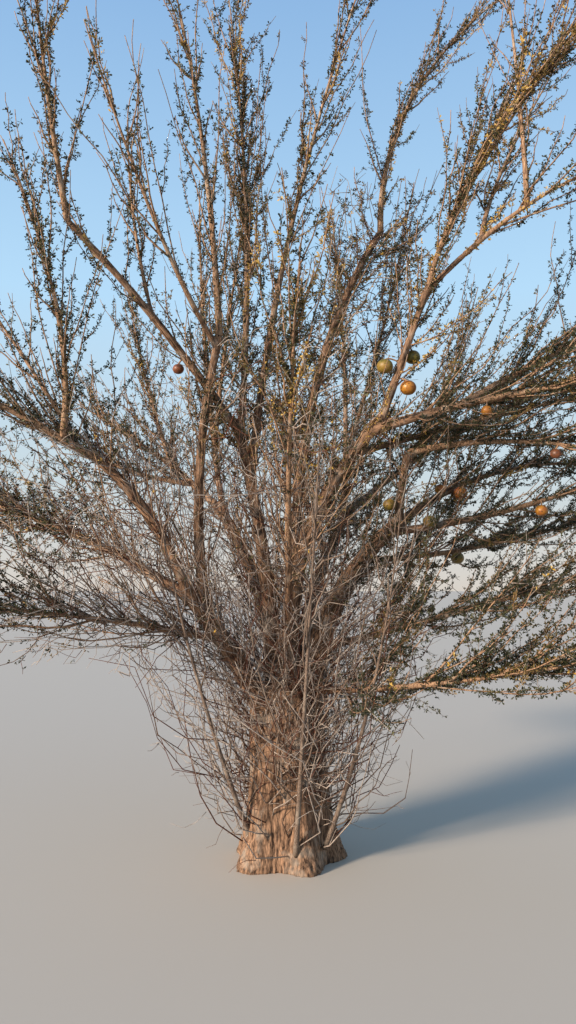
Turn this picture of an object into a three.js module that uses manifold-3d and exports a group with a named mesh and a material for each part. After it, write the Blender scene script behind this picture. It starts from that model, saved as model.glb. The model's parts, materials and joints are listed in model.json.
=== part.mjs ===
// A calabash tree of dry country: a short fluted trunk that forks below waist height into stout boughs,
// each carrying long whip-like shoots with small leaves set close along them, and hard round gourds
// that hang straight from the limbs. Millimetres, +Z up, origin on the ground under the trunk.
import * as THREE from "three";
import { mergeVertices } from "three/addons/utils/BufferGeometryUtils.js";
import Module from "manifold-3d";

const wasm = await Module();
wasm.setup();

// Clearance between two neighbouring solids.
const GAP = 0.3;

// Edges shorter than this are welded away in the finished solids.
const WELD = 0.05;

// Trunk: radius at the waist, extra radius of the root flare at the ground, and how fast the flare dies out.
const TRUNK = { height: 990, waist: 200, flare: 90, flareHeight: 240, lean: -20, sides: 18 };
const TRUNK_RING_HEIGHTS = [0, 0.06, 0.17, 0.34, 0.56, 0.76, 0.88, 0.95, 1];
const TRUNK_SHOULDER = [1, 1, 1, 1, 1, 1.03, 0.98, 0.8, 0.4];

// The trunk isn't round: it has flutes, deepest at the ground, and a slightly oval section, each as a share
// of its radius.
const FLUTES = { count: 5, depth: 0.05, depthAtGround: 0.1, turn: 0.6 };
const OVAL = { depth: 0.05, turn: 1 };

// A limb swells into a collar where it leaves its parent.
const COLLAR = { swell: 0.3, reach: 2.2 };
const BOUGH_SIDES = 6;
const STEM_SIDES = 5;
const BOUGH_RING_STEP = 340;
const STEM_RING_STEP = 450;

// A limb that goes on from its parent's tip starts this share of its radius further back, to fill the bend.
const BEND_FILL = 0.6;

// Shoots of the crown. Every second shoot of the full growing rule is a solid here. Along a stem they stand
// closer towards its tip (crowding) and get shorter (shortening), and on an upright stem they stay shorter
// than on a level one (uprightCut). Each leaves its stem at an angle, more from the upper side of a level
// stem (upperSide), and then bends upwards (lift).
const SHOOT = {
  perMetre: 7, every: 2, firstAt: 90, placeSpread: 0.6, crowding: 0.85, lastAt: 0.97,
  longest: 1150, suckerLongest: 1700, least: 0.6, shortening: 0.4, uprightCut: 0.6, shortest: 280,
  angle: 16, angleSpread: 24, turnSpread: 0.9, upperSide: 0.75,
  lift: 0.3, liftSpread: 0.35, levelLift: 0.5,
  radius: 7, shareOfStem: 0.65, sides: 3,
};

// A shoot that would leave its limb's space is tried again shorter.
const SHOOT_LENGTH_TRIES = [1, 0.75, 0.55, 0.4];

// The golden angle, in radians, from one shoot to the next round the stem.
const TURN = 2.39996;

// Free room round a twig, and round the trunk as a share of its waist.
const TWIG_ROOM = 3;
const TRUNK_ROOM = 1.2;

// Each limb has its own block of seeds, for its shoots, the leaves on them and the leaves on its stem.
const SEEDS = { perLimb: 1000, shootLeaves: 500, stemLeaves: 7000 };

// A leaf here stands for one tuft of small leaves.
const LEAF = { length: 112, width: 42, thickness: 10, widest: 0.6, lean: 0.8, offStem: 0.3 };
const SHOOT_LEAF_PLACE = 0.55;
const STEM_LEAF_STEP = 560;

// One row for each limb: where it springs from (at is the share of its parent's length), its tip, how far
// its middle bows off the straight line, its radius at both ends, and the share of it that is bare bough.
// A limb that joins a mass is a second stem in it.
const LIMBS = [
  { name: "left", foot: [-110, -25, 800], tip: [-560, -150, 1480], bow: [10, 0, 10], r: [64, 46], bare: 1 },
  { name: "centre", foot: [-80, 25, 860], tip: [-300, 50, 2450], bow: [50, 10, 10], r: [52, 30], bare: 1 },
  { name: "right_centre", foot: [30, 0, 880], tip: [540, -100, 2480],
    bow: [-190, 50, 70], r: [58, 34], bare: 1 },
  { name: "right", foot: [100, 15, 760], tip: [670, 150, 1910], bow: [-120, 10, 60], r: [80, 42], bare: 1 },
  { name: "back_left", foot: [-60, 95, 790], tip: [-530, 1100, 2120],
    bow: [100, 0, 40], r: [54, 34], bare: 1 },
  { name: "back_right", foot: [50, 100, 790], tip: [450, 1100, 2080],
    bow: [-80, -20, 40], r: [54, 34], bare: 1 },

  { name: "left_mid", on: "left", at: 1, tip: [-1010, -400, 2190], bow: [30, 0, 50], r: [36, 28], bare: 1 },
  { name: "left_outer", on: "left_mid", at: 1, tip: [-1970, -800, 2670],
    bow: [20, -40, 10], r: [26, 6], bare: 0 },
  { name: "left_riser", on: "left_outer", at: 0.2, tip: [-1410, -900, 3720],
    bow: [120, 0, -80], r: [16, 4], joins: "left_outer" },
  { name: "left_edge", on: "left_outer", at: 0.12, tip: [-2030, -200, 3560],
    bow: [160, 30, -210], r: [15, 4], joins: "left_outer" },
  { name: "low_left", on: "left", at: 0.93, tip: [-2820, 400, 2220],
    bow: [70, 60, 130], r: [32, 6], bare: 0.3 },
  { name: "lowest_left", on: "left", at: 0.6, tip: [-1570, -1000, 1430],
    bow: [-10, 20, 30], r: [24, 5], bare: 0.3 },
  { name: "left_upright", on: "left", at: 0.8, tip: [-390, -250, 2940],
    bow: [-80, 40, 10], r: [34, 24], bare: 1 },
  { name: "left_top", on: "left_upright", at: 1, tip: [-630, -650, 4810],
    bow: [30, 30, 120], r: [22, 5], bare: 0 },
  { name: "left_inner", on: "left_upright", at: 0.96, tip: [-970, -1100, 4200],
    bow: [0, 20, -140], r: [19, 4], bare: 0.2 },

  { name: "upper_left", on: "centre", at: 1, tip: [-1200, -500, 3500],
    bow: [10, 80, 50], r: [28, 20], bare: 1 },
  { name: "upper_left_top", on: "upper_left", at: 1, tip: [-1310, -900, 4800],
    bow: [0, -50, -40], r: [19, 4], bare: 0 },
  { name: "upper_left_riser", on: "upper_left", at: 0.55, tip: [-930, -300, 4210],
    bow: [-40, 20, 0], r: [14, 4], bare: 0.15 },
  { name: "centre_top", on: "centre", at: 0.97, tip: [-380, 0, 5270],
    bow: [70, 70, 0], r: [25, 4], bare: 0.16 },
  { name: "centre_right_top", on: "centre", at: 0.8, tip: [490, -400, 5190],
    bow: [-110, 160, 50], r: [28, 5], bare: 0.25 },
  { name: "inner_right", on: "right_centre", at: 0.35, tip: [590, 200, 3770],
    bow: [-140, -60, 100], r: [36, 23], bare: 1 },
  { name: "inner_right_top", on: "inner_right", at: 1, tip: [1530, 300, 5550],
    bow: [-240, 0, 60], r: [21, 5], bare: 0 },
  { name: "front", on: "right_centre", at: 0.22, tip: [60, -1250, 3050],
    bow: [-30, -90, 0], r: [26, 5], bare: 0.25 },

  { name: "right_upright", on: "right_centre", at: 1, tip: [790, -300, 3200],
    bow: [0, 0, 0], r: [28, 20], bare: 1 },
  { name: "right_top", on: "right_upright", at: 1, tip: [1690, -900, 4540],
    bow: [-120, 30, 90], r: [17, 5], bare: 0 },
  { name: "right_riser", on: "right_top", at: 0.12, tip: [1730, -400, 4750],
    bow: [-100, -120, -50], r: [14, 4], joins: "right_top" },
  { name: "right_high", on: "right_upright", at: 0.97, tip: [1690, -1000, 3580],
    bow: [20, 0, 130], r: [19, 5], bare: 0.22 },
  { name: "right_high_riser", on: "right_high", at: 0.28, tip: [1740, 100, 4870],
    bow: [-120, 0, -140], r: [13, 4], joins: "right_high" },
  { name: "right_spur", on: "right_high", at: 0.5, tip: [1220, -400, 5440],
    bow: [0, -80, -200], r: [13, 4], joins: "right_high" },
  { name: "right_mid", on: "right_centre", at: 0.96, tip: [2090, -700, 2600],
    bow: [-10, 0, 60], r: [31, 6], bare: 0.26 },
  { name: "right_mid_spur", on: "right_mid", at: 0.3, tip: [2490, 100, 3350],
    bow: [-20, 50, 20], r: [20, 5], joins: "right_mid" },
  { name: "right_inner", on: "right_centre", at: 0.86, tip: [2290, 500, 2850],
    bow: [0, 60, 30], r: [24, 5], bare: 0.25 },
  { name: "right_elbow", on: "right", at: 1, tip: [720, 50, 2320], bow: [-10, 0, 0], r: [30, 25], bare: 1 },
  { name: "right_level", on: "right_elbow", at: 1, tip: [2220, -300, 2120],
    bow: [0, -30, 120], r: [23, 5], bare: 0 },
  { name: "right_low", on: "right", at: 0.98, tip: [2490, 1200, 2400],
    bow: [-70, 10, 170], r: [28, 5], bare: 0.35 },
  { name: "right_lower", on: "right", at: 0.93, tip: [2550, 300, 2450],
    bow: [20, 0, -90], r: [28, 5], bare: 0.3 },
  { name: "right_under", on: "right", at: 0.76, tip: [2410, 1400, 2080],
    bow: [-50, 80, -70], r: [24, 5], bare: 0.28 },
  { name: "low_right", on: "right", at: 0.3, tip: [2150, 200, 1680],
    bow: [0, 0, -10], r: [26, 5], bare: 0.25 },
  { name: "low_front", on: "right", at: 0.12, tip: [1490, -1000, 1200],
    bow: [-50, -80, -30], r: [24, 5], bare: 0.3 },

  { name: "back_left_low", on: "back_left", at: 1, tip: [-1970, 2300, 3210],
    bow: [60, 50, 20], r: [30, 6], bare: 0 },
  { name: "back_left_top", on: "back_left", at: 0.92, tip: [-690, 1200, 4680],
    bow: [-60, 120, 0], r: [26, 6], bare: 0.15 },
  { name: "back_right_low", on: "back_right", at: 1, tip: [2090, 2300, 3210],
    bow: [-50, 40, 30], r: [30, 6], bare: 0 },
  { name: "back_right_top", on: "back_right", at: 0.92, tip: [320, 1150, 4490],
    bow: [70, 120, 0], r: [26, 6], bare: 0.15 },
  { name: "back_middle", on: "back_right", at: 0.7, tip: [-120, 2500, 3260],
    bow: [0, 40, -40], r: [28, 6], bare: 0.2 },

  { name: "left_sucker", foot: [-190, -130, 110], tip: [-700, -650, 2150],
    bow: [-50, -60, 0], r: [20, 4], bare: 0 },
  { name: "front_sucker", foot: [40, -240, 90], tip: [150, -1000, 2250],
    bow: [0, -40, -20], r: [20, 4], bare: 0 },
  { name: "right_sucker", foot: [200, -150, 100], tip: [560, -700, 1900],
    bow: [60, -30, 0], r: [20, 4], bare: 0 },

  { name: "back_left_riser", on: "back_left_low", at: 0.3, tip: [-1410, 2000, 4150],
    bow: [0, -60, -120], r: [16, 4], joins: "back_left_low" },
  { name: "back_left_side", on: "back_left_low", at: 0.16, tip: [-2250, 1050, 3050],
    bow: [0, 0, -160], r: [16, 4], joins: "back_left_low" },
  { name: "back_right_riser", on: "back_right_low", at: 0.34, tip: [1640, 1900, 4100],
    bow: [0, -60, -120], r: [16, 4], joins: "back_right_low" },
  { name: "back_left_inner", on: "back_left_top", at: 0.2, tip: [-250, 620, 4450],
    bow: [-20, -60, -60], r: [15, 4], joins: "back_left_top" },
  { name: "back_right_inner", on: "back_right_top", at: 0.2, tip: [885, 640, 4350],
    bow: [20, -20, -80], r: [15, 4], joins: "back_right_top" },
];

// Gourds: the limb each hangs from, where along it, which way it hangs off the limb, and its diameter.
const GOURDS = [
  { on: "upper_left", at: 0.33, way: [-0.8, -0.2, -0.6], d: 66 },
  { on: "right_upright", at: 0.4, way: [-0.95, -0.2, 0.1], d: 92 },
  { on: "right_upright", at: 0.5, way: [0.7, 0.7, 0.1], d: 88 },
  { on: "right_upright", at: 0.28, way: [0.9, -0.3, -0.3], d: 92 },
  { on: "right_mid", at: 0.38, way: [0.1, -0.3, -1], d: 60 },
  { on: "right_low", at: 0.2, way: [-0.2, -0.9, 0.4], d: 70 },
  { on: "right_low", at: 0.26, way: [0.3, -0.9, -0.5], d: 92 },
  { on: "right_elbow", at: 0.24, way: [-0.9, -0.7, 0], d: 80 },
  { on: "right_lower", at: 0.12, way: [0.1, -1, 0.4], d: 80 },
  { on: "right_lower", at: 0.47, way: [0.2, -0.6, -0.8], d: 76 },
  { on: "right_under", at: 0.37, way: [0, -0.8, -0.7], d: 86 },
  { on: "right_level", at: 0.54, way: [-0.1, -0.2, -1], d: 62 },
];
const GOURD_STALK = { length: 16, radius: 5, higher: 30, bendAt: 0.6, sunkTo: 0.4, sides: 4 };
const GOURD_SIDES = [8, 4];

// Linear congruential draws, so that the same seed always grows the same shoot.
function drawsFrom(seed) {
  let state = (seed * 7919 + 12345) >>> 0;
  return () => {
    state = (Math.imul(state, 1664525) + 1013904223) >>> 0;
    return state / 4294967296;
  };
}

// The curve of a limb or shoot: start, pull point and tip of a quadratic arc.
function arcPoint(arc, t) {
  const s = 1 - t;
  return new THREE.Vector3()
    .addScaledVector(arc[0], s * s)
    .addScaledVector(arc[1], 2 * s * t)
    .addScaledVector(arc[2], t * t);
}

function arcHeading(arc, t) {
  const heading = new THREE.Vector3()
    .addScaledVector(arc[0], t - 1)
    .addScaledVector(arc[1], 1 - 2 * t)
    .addScaledVector(arc[2], t);
  return heading.normalize();
}

function arcLength(arc) {
  let length = 0;
  for (let k = 0; k < 20; k++) length += arcPoint(arc, k / 20).distanceTo(arcPoint(arc, (k + 1) / 20));
  return length;
}

// Two directions across a heading, from one fixed guide so that they don't flip along the arc.
function acrossOf(heading, guide) {
  const a = new THREE.Vector3().crossVectors(guide, heading).normalize();
  const b = new THREE.Vector3().crossVectors(heading, a);
  return [a, b];
}

function guideOf(arc) {
  const way = arc[2].clone().sub(arc[0]).normalize();
  return Math.abs(way.y) < 0.8 ? new THREE.Vector3(0, 1, 0) : new THREE.Vector3(1, 0, 0);
}

// A three.js shape as a solid that can be joined and cut.
function solidOf(geometry) {
  for (const name of ["normal", "uv"]) geometry.deleteAttribute(name);
  const merged = mergeVertices(geometry, 1e-3);
  const vertProperties = new Float32Array(merged.attributes.position.array);
  const triVerts = new Uint32Array(merged.index.array);
  return new wasm.Manifold(new wasm.Mesh({ numProp: 3, vertProperties, triVerts }));
}

function geometryOf(solid) {
  const mesh = mainPiece(solid.simplify(WELD)).getMesh();
  const positions = new Float32Array(mesh.numVert * 3);
  for (let i = 0; i < mesh.numVert; i++) {
    positions.set(mesh.vertProperties.subarray(i * mesh.numProp, i * mesh.numProp + 3), i * 3);
  }
  const geometry = new THREE.BufferGeometry();
  geometry.setAttribute("position", new THREE.BufferAttribute(positions, 3));
  geometry.setIndex(new THREE.BufferAttribute(mesh.triVerts, 1));
  return geometry;
}

// The largest connected piece of a solid.
function mainPiece(solid) {
  const pieces = solid.decompose();
  return pieces.reduce((best, piece) => (piece.volume() > best.volume() ? piece : best));
}

// A round bar bent along an arc from share `from` to share `to`, with the radius that radiusAt gives.
function barAlong(arc, from, to, radiusAt, sides, rings) {
  const bar = new THREE.CylinderGeometry(1, 1, 1, sides, rings);
  const guide = guideOf(arc);
  const spot = bar.attributes.position;
  for (let i = 0; i < spot.count; i++) {
    const t = from + (to - from) * (spot.getY(i) + 0.5);
    const [a, b] = acrossOf(arcHeading(arc, t), guide);
    const r = radiusAt(t);
    const p = arcPoint(arc, t).addScaledVector(a, -spot.getX(i) * r).addScaledVector(b, spot.getZ(i) * r);
    spot.setXYZ(i, p.x, p.y, p.z);
  }
  return solidOf(bar);
}

// A pointed shoot along an arc.
function shootAlong(arc, radius) {
  const cone = new THREE.ConeGeometry(radius, 1, SHOOT.sides, 2);
  const guide = guideOf(arc);
  const spot = cone.attributes.position;
  for (let i = 0; i < spot.count; i++) {
    const t = spot.getY(i) + 0.5;
    const [a, b] = acrossOf(arcHeading(arc, t), guide);
    const p = arcPoint(arc, t).addScaledVector(a, -spot.getX(i)).addScaledVector(b, spot.getZ(i));
    spot.setXYZ(i, p.x, p.y, p.z);
  }
  return solidOf(cone);
}

// The trunk: a bar with a root flare and flutes that fade upwards, and rounded shoulders under the fork.
function trunkSolid(grow) {
  const bar = new THREE.CylinderGeometry(1, 1, 1, TRUNK.sides, TRUNK_RING_HEIGHTS.length - 1);
  const spot = bar.attributes.position;
  for (let i = 0; i < spot.count; i++) {
    const ring = Math.round((spot.getY(i) + 0.5) * (TRUNK_RING_HEIGHTS.length - 1));
    const z = TRUNK_RING_HEIGHTS[ring] * TRUNK.height;
    const turn = Math.atan2(spot.getZ(i), spot.getX(i));
    const away = Math.hypot(spot.getX(i), spot.getZ(i));
    const flare = Math.exp(-z / TRUNK.flareHeight);
    const fluteDepth = FLUTES.depth + FLUTES.depthAtGround * flare;
    const fluting = fluteDepth * Math.cos(FLUTES.count * turn + FLUTES.turn);
    const oval = OVAL.depth * Math.cos(2 * turn + OVAL.turn);
    const round = (TRUNK.waist + TRUNK.flare * flare) * TRUNK_SHOULDER[ring];
    const r = away * (round * (1 + fluting + oval) + grow);
    const top = ring === TRUNK_RING_HEIGHTS.length - 1 ? grow : 0;
    spot.setXYZ(i, TRUNK.lean * TRUNK_RING_HEIGHTS[ring] + r * Math.cos(turn), -r * Math.sin(turn), z + top);
  }
  return solidOf(bar);
}

// Limbs: each gets its arc, its length and its radius at any share of the way.
const limbs = new Map();
for (const row of LIMBS) {
  const start = row.foot ? new THREE.Vector3(...row.foot) : arcPoint(limbs.get(row.on).arc, row.at);
  const tip = new THREE.Vector3(...row.tip);
  const pull = start.clone().add(tip).multiplyScalar(0.5).addScaledVector(new THREE.Vector3(...row.bow), 2);
  const arc = [start, pull, tip];
  const length = arcLength(arc);
  const collar = (t) => 1 + COLLAR.swell * Math.exp((-t * length) / (COLLAR.reach * row.r[0]));
  const radiusAt = (t) => (row.r[1] + (row.r[0] - row.r[1]) * (1 - t)) * (row.at === 1 ? 1 : collar(t));
  const from = row.at === 1 ? (-BEND_FILL * row.r[0]) / length : 0;
  const bare = row.bare ?? 0;
  const mass = row.joins ?? row.name;
  const leafless = row.name.endsWith("sucker");
  limbs.set(row.name, { ...row, bare, mass, arc, length, radiusAt, from, leafless });
}

// Distance from a point to the segments of a path.
function distanceTo(path, p) {
  let best = Infinity;
  const line = new THREE.Line3();
  const near = new THREE.Vector3();
  for (let k = 0; k + 1 < path.length; k++) {
    line.set(path[k], path[k + 1]).closestPointToPoint(p, true, near);
    best = Math.min(best, near.distanceTo(p));
  }
  return best;
}

const LIMB_STEPS = 12;
const LIMB_SHARES = Array.from({ length: LIMB_STEPS + 1 }, (_, k) => k / LIMB_STEPS);
for (const limb of limbs.values()) {
  limb.path = LIMB_SHARES.map((t) => arcPoint(limb.arc, t));
  limb.bough = LIMB_SHARES.map((t) => arcPoint(limb.arc, limb.bare * t));
}
const trunkLine = [new THREE.Vector3(0, 0, 0), new THREE.Vector3(TRUNK.lean, 0, TRUNK.height)];

// A limb's space is what lies nearer to it than to any other limb. `room` must stay free round the point.
function inOwnSpace(limb, p, room) {
  let own = Infinity;
  let others = Infinity;
  for (const other of limbs.values()) {
    const away = distanceTo(other.path, p);
    if (other.mass === limb.mass) own = Math.min(own, away);
    else others = Math.min(others, away - other.r[0]);
  }
  if (others < own + 2 * room) return false;
  if (limb.bare > 0 && distanceTo(limb.bough, p) < limb.r[0] + room) return false;
  return distanceTo(trunkLine, p) > TRUNK.waist * TRUNK_ROOM + room;
}

// The growing rule: shoot number k on a limb leaves its stem at a seeded place and angle and turns upwards.
function shootArc(limb, index, k, count, lengthShare) {
  const draw = drawsFrom(index * SEEDS.perLimb + k);
  const usable = 1 - limb.bare;
  const first = SHOOT.firstAt / limb.length;
  const place = Math.pow((k + SHOOT.placeSpread * draw()) / count, SHOOT.crowding) * SHOOT.lastAt;
  const along = limb.bare + first + (usable - first) * place;
  const start = arcPoint(limb.arc, along);
  const heading = arcHeading(limb.arc, along);
  const [a, b] = acrossOf(heading, guideOf(limb.arc));
  const turn = TURN * k + SHOOT.turnSpread * draw();
  const angle = ((SHOOT.angle + SHOOT.angleSpread * draw()) * Math.PI) / 180;
  const out = a.multiplyScalar(Math.cos(turn)).addScaledVector(b, Math.sin(turn));
  const level = 1 - Math.abs(heading.z);
  out.z += SHOOT.upperSide * level;
  out.addScaledVector(heading, -out.dot(heading)).normalize();
  const leave = heading.clone().multiplyScalar(Math.cos(angle)).addScaledVector(out, Math.sin(angle));
  const rise = leave.clone();
  rise.z += SHOOT.lift + SHOOT.liftSpread * draw() + SHOOT.levelLift * level;
  rise.normalize();
  const share = (along - limb.bare) / usable;
  const upright = 1 - SHOOT.uprightCut * heading.z ** 2;
  const longest = limb.leafless ? SHOOT.suckerLongest : SHOOT.longest * upright;
  const luck = SHOOT.least + (1 - SHOOT.least) * draw();
  const length = longest * luck * (1 - SHOOT.shortening * share) * lengthShare;
  const pull = start.clone().addScaledVector(leave, length / 2);
  return { arc: [start, pull, pull.clone().addScaledVector(rise, length / 2)], length, along };
}

function shootFits(limb, arc, radius) {
  const places = [2, 3, 4, 5, 6].map((s) => arcPoint(arc, s / 6));
  return places.every((p) => inOwnSpace(limb, p, radius + TWIG_ROOM));
}

// A leaf: a pointed blade folded along its midrib, widest past its middle, with its foot sunk into the twig.
function leafSolid(foot, way, flat) {
  const side = new THREE.Vector3().crossVectors(flat, way).normalize();
  const face = new THREE.Vector3().crossVectors(way, side);
  const at = (share, across, up) => {
    const onRib = foot.clone().addScaledVector(way, share * LEAF.length);
    return onRib.addScaledVector(side, across).addScaledVector(face, up);
  };
  const corners = [
    at(0, 0, 0),
    at(1, 0, 0),
    at(LEAF.widest, LEAF.width / 2, LEAF.thickness / 2),
    at(LEAF.widest, -LEAF.width / 2, LEAF.thickness / 2),
    at(LEAF.widest, 0, -LEAF.thickness / 2),
  ];
  const blade = new THREE.BufferGeometry().setFromPoints(corners);
  blade.setIndex([2, 3, 1, 3, 4, 1, 4, 2, 1, 3, 2, 0, 4, 3, 0, 2, 4, 0]);
  return solidOf(blade);
}

// The direction of leaf number k at a place on a twig.
function leafWay(heading, guide, k, draw) {
  const [a, b] = acrossOf(heading, guide);
  const turn = TURN * k + draw();
  const out = a.multiplyScalar(Math.cos(turn)).addScaledVector(b, Math.sin(turn));
  return { way: heading.clone().addScaledVector(out, LEAF.lean).normalize(), out };
}

// A gourd hangs below the end of a short stalk that leaves its limb a little higher up.
function gourdSolid(limb, gourd) {
  const onLimb = arcPoint(limb.arc, gourd.at);
  const reach = limb.radiusAt(gourd.at) + GOURD_STALK.length + gourd.d / 2;
  const centre = onLimb.clone().addScaledVector(new THREE.Vector3(...gourd.way).normalize(), reach);
  const ball = new THREE.SphereGeometry(gourd.d / 2, ...GOURD_SIDES);
  ball.rotateX(Math.PI / 2);
  ball.translate(centre.x, centre.y, centre.z);
  const stalkFoot = arcPoint(limb.arc, gourd.at + GOURD_STALK.higher / limb.length);
  const crown = centre.clone().add(new THREE.Vector3(0, 0, gourd.d * GOURD_STALK.sunkTo));
  const bend = stalkFoot.clone().lerp(crown, GOURD_STALK.bendAt);
  bend.z += GOURD_STALK.higher;
  const stalk = barAlong([stalkFoot, bend, crown], 0, 1, () => GOURD_STALK.radius, GOURD_STALK.sides, 2);
  return solidOf(ball).add(stalk);
}

const solids = new Map();

function cutClear(solid, others) {
  let left = solid;
  for (const other of others) if (left.intersect(other).volume() > 0) left = left.subtract(other);
  return mainPiece(left);
}

// The trunk and the boughs, each cut clear of those before it. Returns them swollen by the clearance.
function growTrunkAndBoughs() {
  solids.set("trunk", trunkSolid(0));
  const swollen = [trunkSolid(GAP)];
  for (const limb of limbs.values()) {
    if (limb.bare === 0) continue;
    const rings = Math.max(2, Math.round((limb.bare * limb.length) / BOUGH_RING_STEP));
    const bar = barAlong(limb.arc, limb.from, limb.bare, limb.radiusAt, BOUGH_SIDES, rings);
    let bough = cutClear(bar, swollen);
    for (const gourd of GOURDS) {
      if (gourd.on === limb.name && gourd.at < limb.bare) bough = bough.add(gourdSolid(limb, gourd));
    }
    solids.set(limb.name + "_bough", bough);
    const more = GAP / limb.length;
    const wider = (t) => limb.radiusAt(t) + GAP;
    swollen.push(barAlong(limb.arc, limb.from - more, limb.bare + more, wider, BOUGH_SIDES, rings));
  }
  return swollen;
}

// One stem of a mass with its shoots, leaves and gourds.
function growStem(limb, index) {
  const rings = Math.max(4, Math.round(((1 - limb.bare) * limb.length) / STEM_RING_STEP));
  const parts = [barAlong(limb.arc, limb.bare + limb.from, 1, limb.radiusAt, STEM_SIDES, rings)];
  const addLeaf = (arc, t, radius, k, draw) => {
    const heading = arcHeading(arc, t);
    const { way, out } = leafWay(heading, guideOf(arc), k, draw);
    const foot = arcPoint(arc, t).addScaledVector(out, radius * LEAF.offStem);
    const tip = foot.clone().addScaledVector(way, LEAF.length);
    const middle = foot.clone().addScaledVector(way, LEAF.length * LEAF.widest);
    if (!inOwnSpace(limb, tip, TWIG_ROOM) || !inOwnSpace(limb, middle, LEAF.width / 4)) return;
    parts.push(leafSolid(foot, way, new THREE.Vector3().crossVectors(heading, out).cross(way)));
  };
  const count = Math.round(((1 - limb.bare) * limb.length * SHOOT.perMetre) / 1000);
  for (let k = 0; k < count; k += SHOOT.every) {
    for (const lengthShare of SHOOT_LENGTH_TRIES) {
      const { arc, length, along } = shootArc(limb, index, k, count, lengthShare);
      if (length < SHOOT.shortest || !shootFits(limb, arc, SHOOT.radius)) continue;
      parts.push(shootAlong(arc, Math.min(SHOOT.radius, SHOOT.shareOfStem * limb.radiusAt(along))));
      const draw = drawsFrom(index * SEEDS.perLimb + k + SEEDS.shootLeaves);
      if (!limb.leafless) addLeaf(arc, SHOOT_LEAF_PLACE, 0, k, draw);
      break;
    }
  }
  const stemDraw = drawsFrom(index + SEEDS.stemLeaves);
  const leafCount = limb.leafless ? 0 : Math.floor(((1 - limb.bare) * limb.length) / STEM_LEAF_STEP);
  for (let n = 1; n <= leafCount; n++) {
    const t = limb.bare + ((1 - limb.bare) * n) / (leafCount + 0.5);
    addLeaf(limb.arc, t, limb.radiusAt(t), n * 3, stemDraw);
  }
  for (const gourd of GOURDS) {
    if (gourd.on === limb.name && gourd.at >= limb.bare) parts.push(gourdSolid(limb, gourd));
  }
  return parts;
}

// The masses of foliage and the bare shoots at the foot, each one solid cut clear of the trunk and boughs.
function growMasses(swollen) {
  const parts = new Map();
  [...limbs.values()].forEach((limb, index) => {
    if (limb.bare < 1) parts.set(limb.mass, [...(parts.get(limb.mass) ?? []), ...growStem(limb, index)]);
  });
  for (const [mass, pieces] of parts) {
    const joined = mainPiece(wasm.Manifold.union(pieces));
    solids.set(mass + (limbs.get(mass).leafless ? "_shoots" : "_foliage"), cutClear(joined, swollen));
  }
}

growMasses(growTrunkAndBoughs());

const BARK = new THREE.MeshStandardMaterial({ color: 0x8a7560, roughness: 0.92, metalness: 0 });
const LEAVES = new THREE.MeshStandardMaterial({ color: 0x5b6136, roughness: 0.7, metalness: 0 });
const BARE_SHOOTS = new THREE.MeshStandardMaterial({ color: 0x8b6f62, roughness: 0.9, metalness: 0 });

const tree = new THREE.Group();
for (const [name, solid] of solids) {
  const material = name.endsWith("foliage") ? LEAVES : name.endsWith("shoots") ? BARE_SHOOTS : BARK;
  const mesh = new THREE.Mesh(geometryOf(solid), material);
  mesh.name = name;
  tree.add(mesh);
}

export default tree;
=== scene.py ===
# %% [markdown]
# # A calabash tree of dry country
# This small tree forks low into stout boughs. Each bough carries long whip-like rods, and small
# paddle-shaped leaves stand in tufts close along them, so that a rod looks like a bottle brush with a bare
# tip. Hard round gourds hang from the limbs. The lesson grows the tree in the order in which it grows
# itself: trunk and boughs first, then rods, twigs, leaves and fruit.

# %% The frame that everything fits
import json
import math
from types import SimpleNamespace

import bpy
import numpy as np
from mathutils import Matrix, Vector, kdtree, noise

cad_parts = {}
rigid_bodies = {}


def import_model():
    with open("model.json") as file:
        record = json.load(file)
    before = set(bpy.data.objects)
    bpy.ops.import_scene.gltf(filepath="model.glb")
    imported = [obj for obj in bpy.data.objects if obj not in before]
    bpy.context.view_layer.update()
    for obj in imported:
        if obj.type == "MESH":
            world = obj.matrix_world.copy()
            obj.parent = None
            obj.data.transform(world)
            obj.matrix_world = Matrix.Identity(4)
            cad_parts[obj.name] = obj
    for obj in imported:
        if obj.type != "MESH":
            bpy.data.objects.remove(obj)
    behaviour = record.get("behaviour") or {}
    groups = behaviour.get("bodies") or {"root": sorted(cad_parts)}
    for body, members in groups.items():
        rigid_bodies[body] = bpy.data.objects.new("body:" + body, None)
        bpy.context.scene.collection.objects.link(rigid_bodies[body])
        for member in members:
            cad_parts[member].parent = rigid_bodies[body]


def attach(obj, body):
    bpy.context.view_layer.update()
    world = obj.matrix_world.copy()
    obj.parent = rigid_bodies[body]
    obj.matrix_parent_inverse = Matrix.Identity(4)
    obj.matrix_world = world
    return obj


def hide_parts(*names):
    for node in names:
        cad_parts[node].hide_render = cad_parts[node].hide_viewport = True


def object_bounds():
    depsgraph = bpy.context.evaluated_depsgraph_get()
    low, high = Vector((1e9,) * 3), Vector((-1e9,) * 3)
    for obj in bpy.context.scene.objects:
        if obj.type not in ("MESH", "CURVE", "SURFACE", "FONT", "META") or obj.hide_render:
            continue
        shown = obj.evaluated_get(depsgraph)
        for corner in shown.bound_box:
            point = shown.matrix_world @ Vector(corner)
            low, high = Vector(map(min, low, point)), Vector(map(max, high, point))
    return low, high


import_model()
cad_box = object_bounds()
bpy.ops.object.select_all(action="DESELECT")
print("box of the solids, in metres:", *cad_box)

# %% [markdown]
# ## The viewpoint
# The tree was seen from close by at eye height, with the view tilted a little upwards. A camera so near
# makes the rods at the top lean together, so its distance and tilt matter more than its lens.

# %% The camera
bpy.ops.object.camera_add(location=(0, -4.5, 1.5), rotation=(math.radians(95.8), 0, 0))
camera = bpy.context.object
camera.data.lens = 27.03
camera.data.sensor_width = 36
bpy.context.scene.camera = camera

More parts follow.
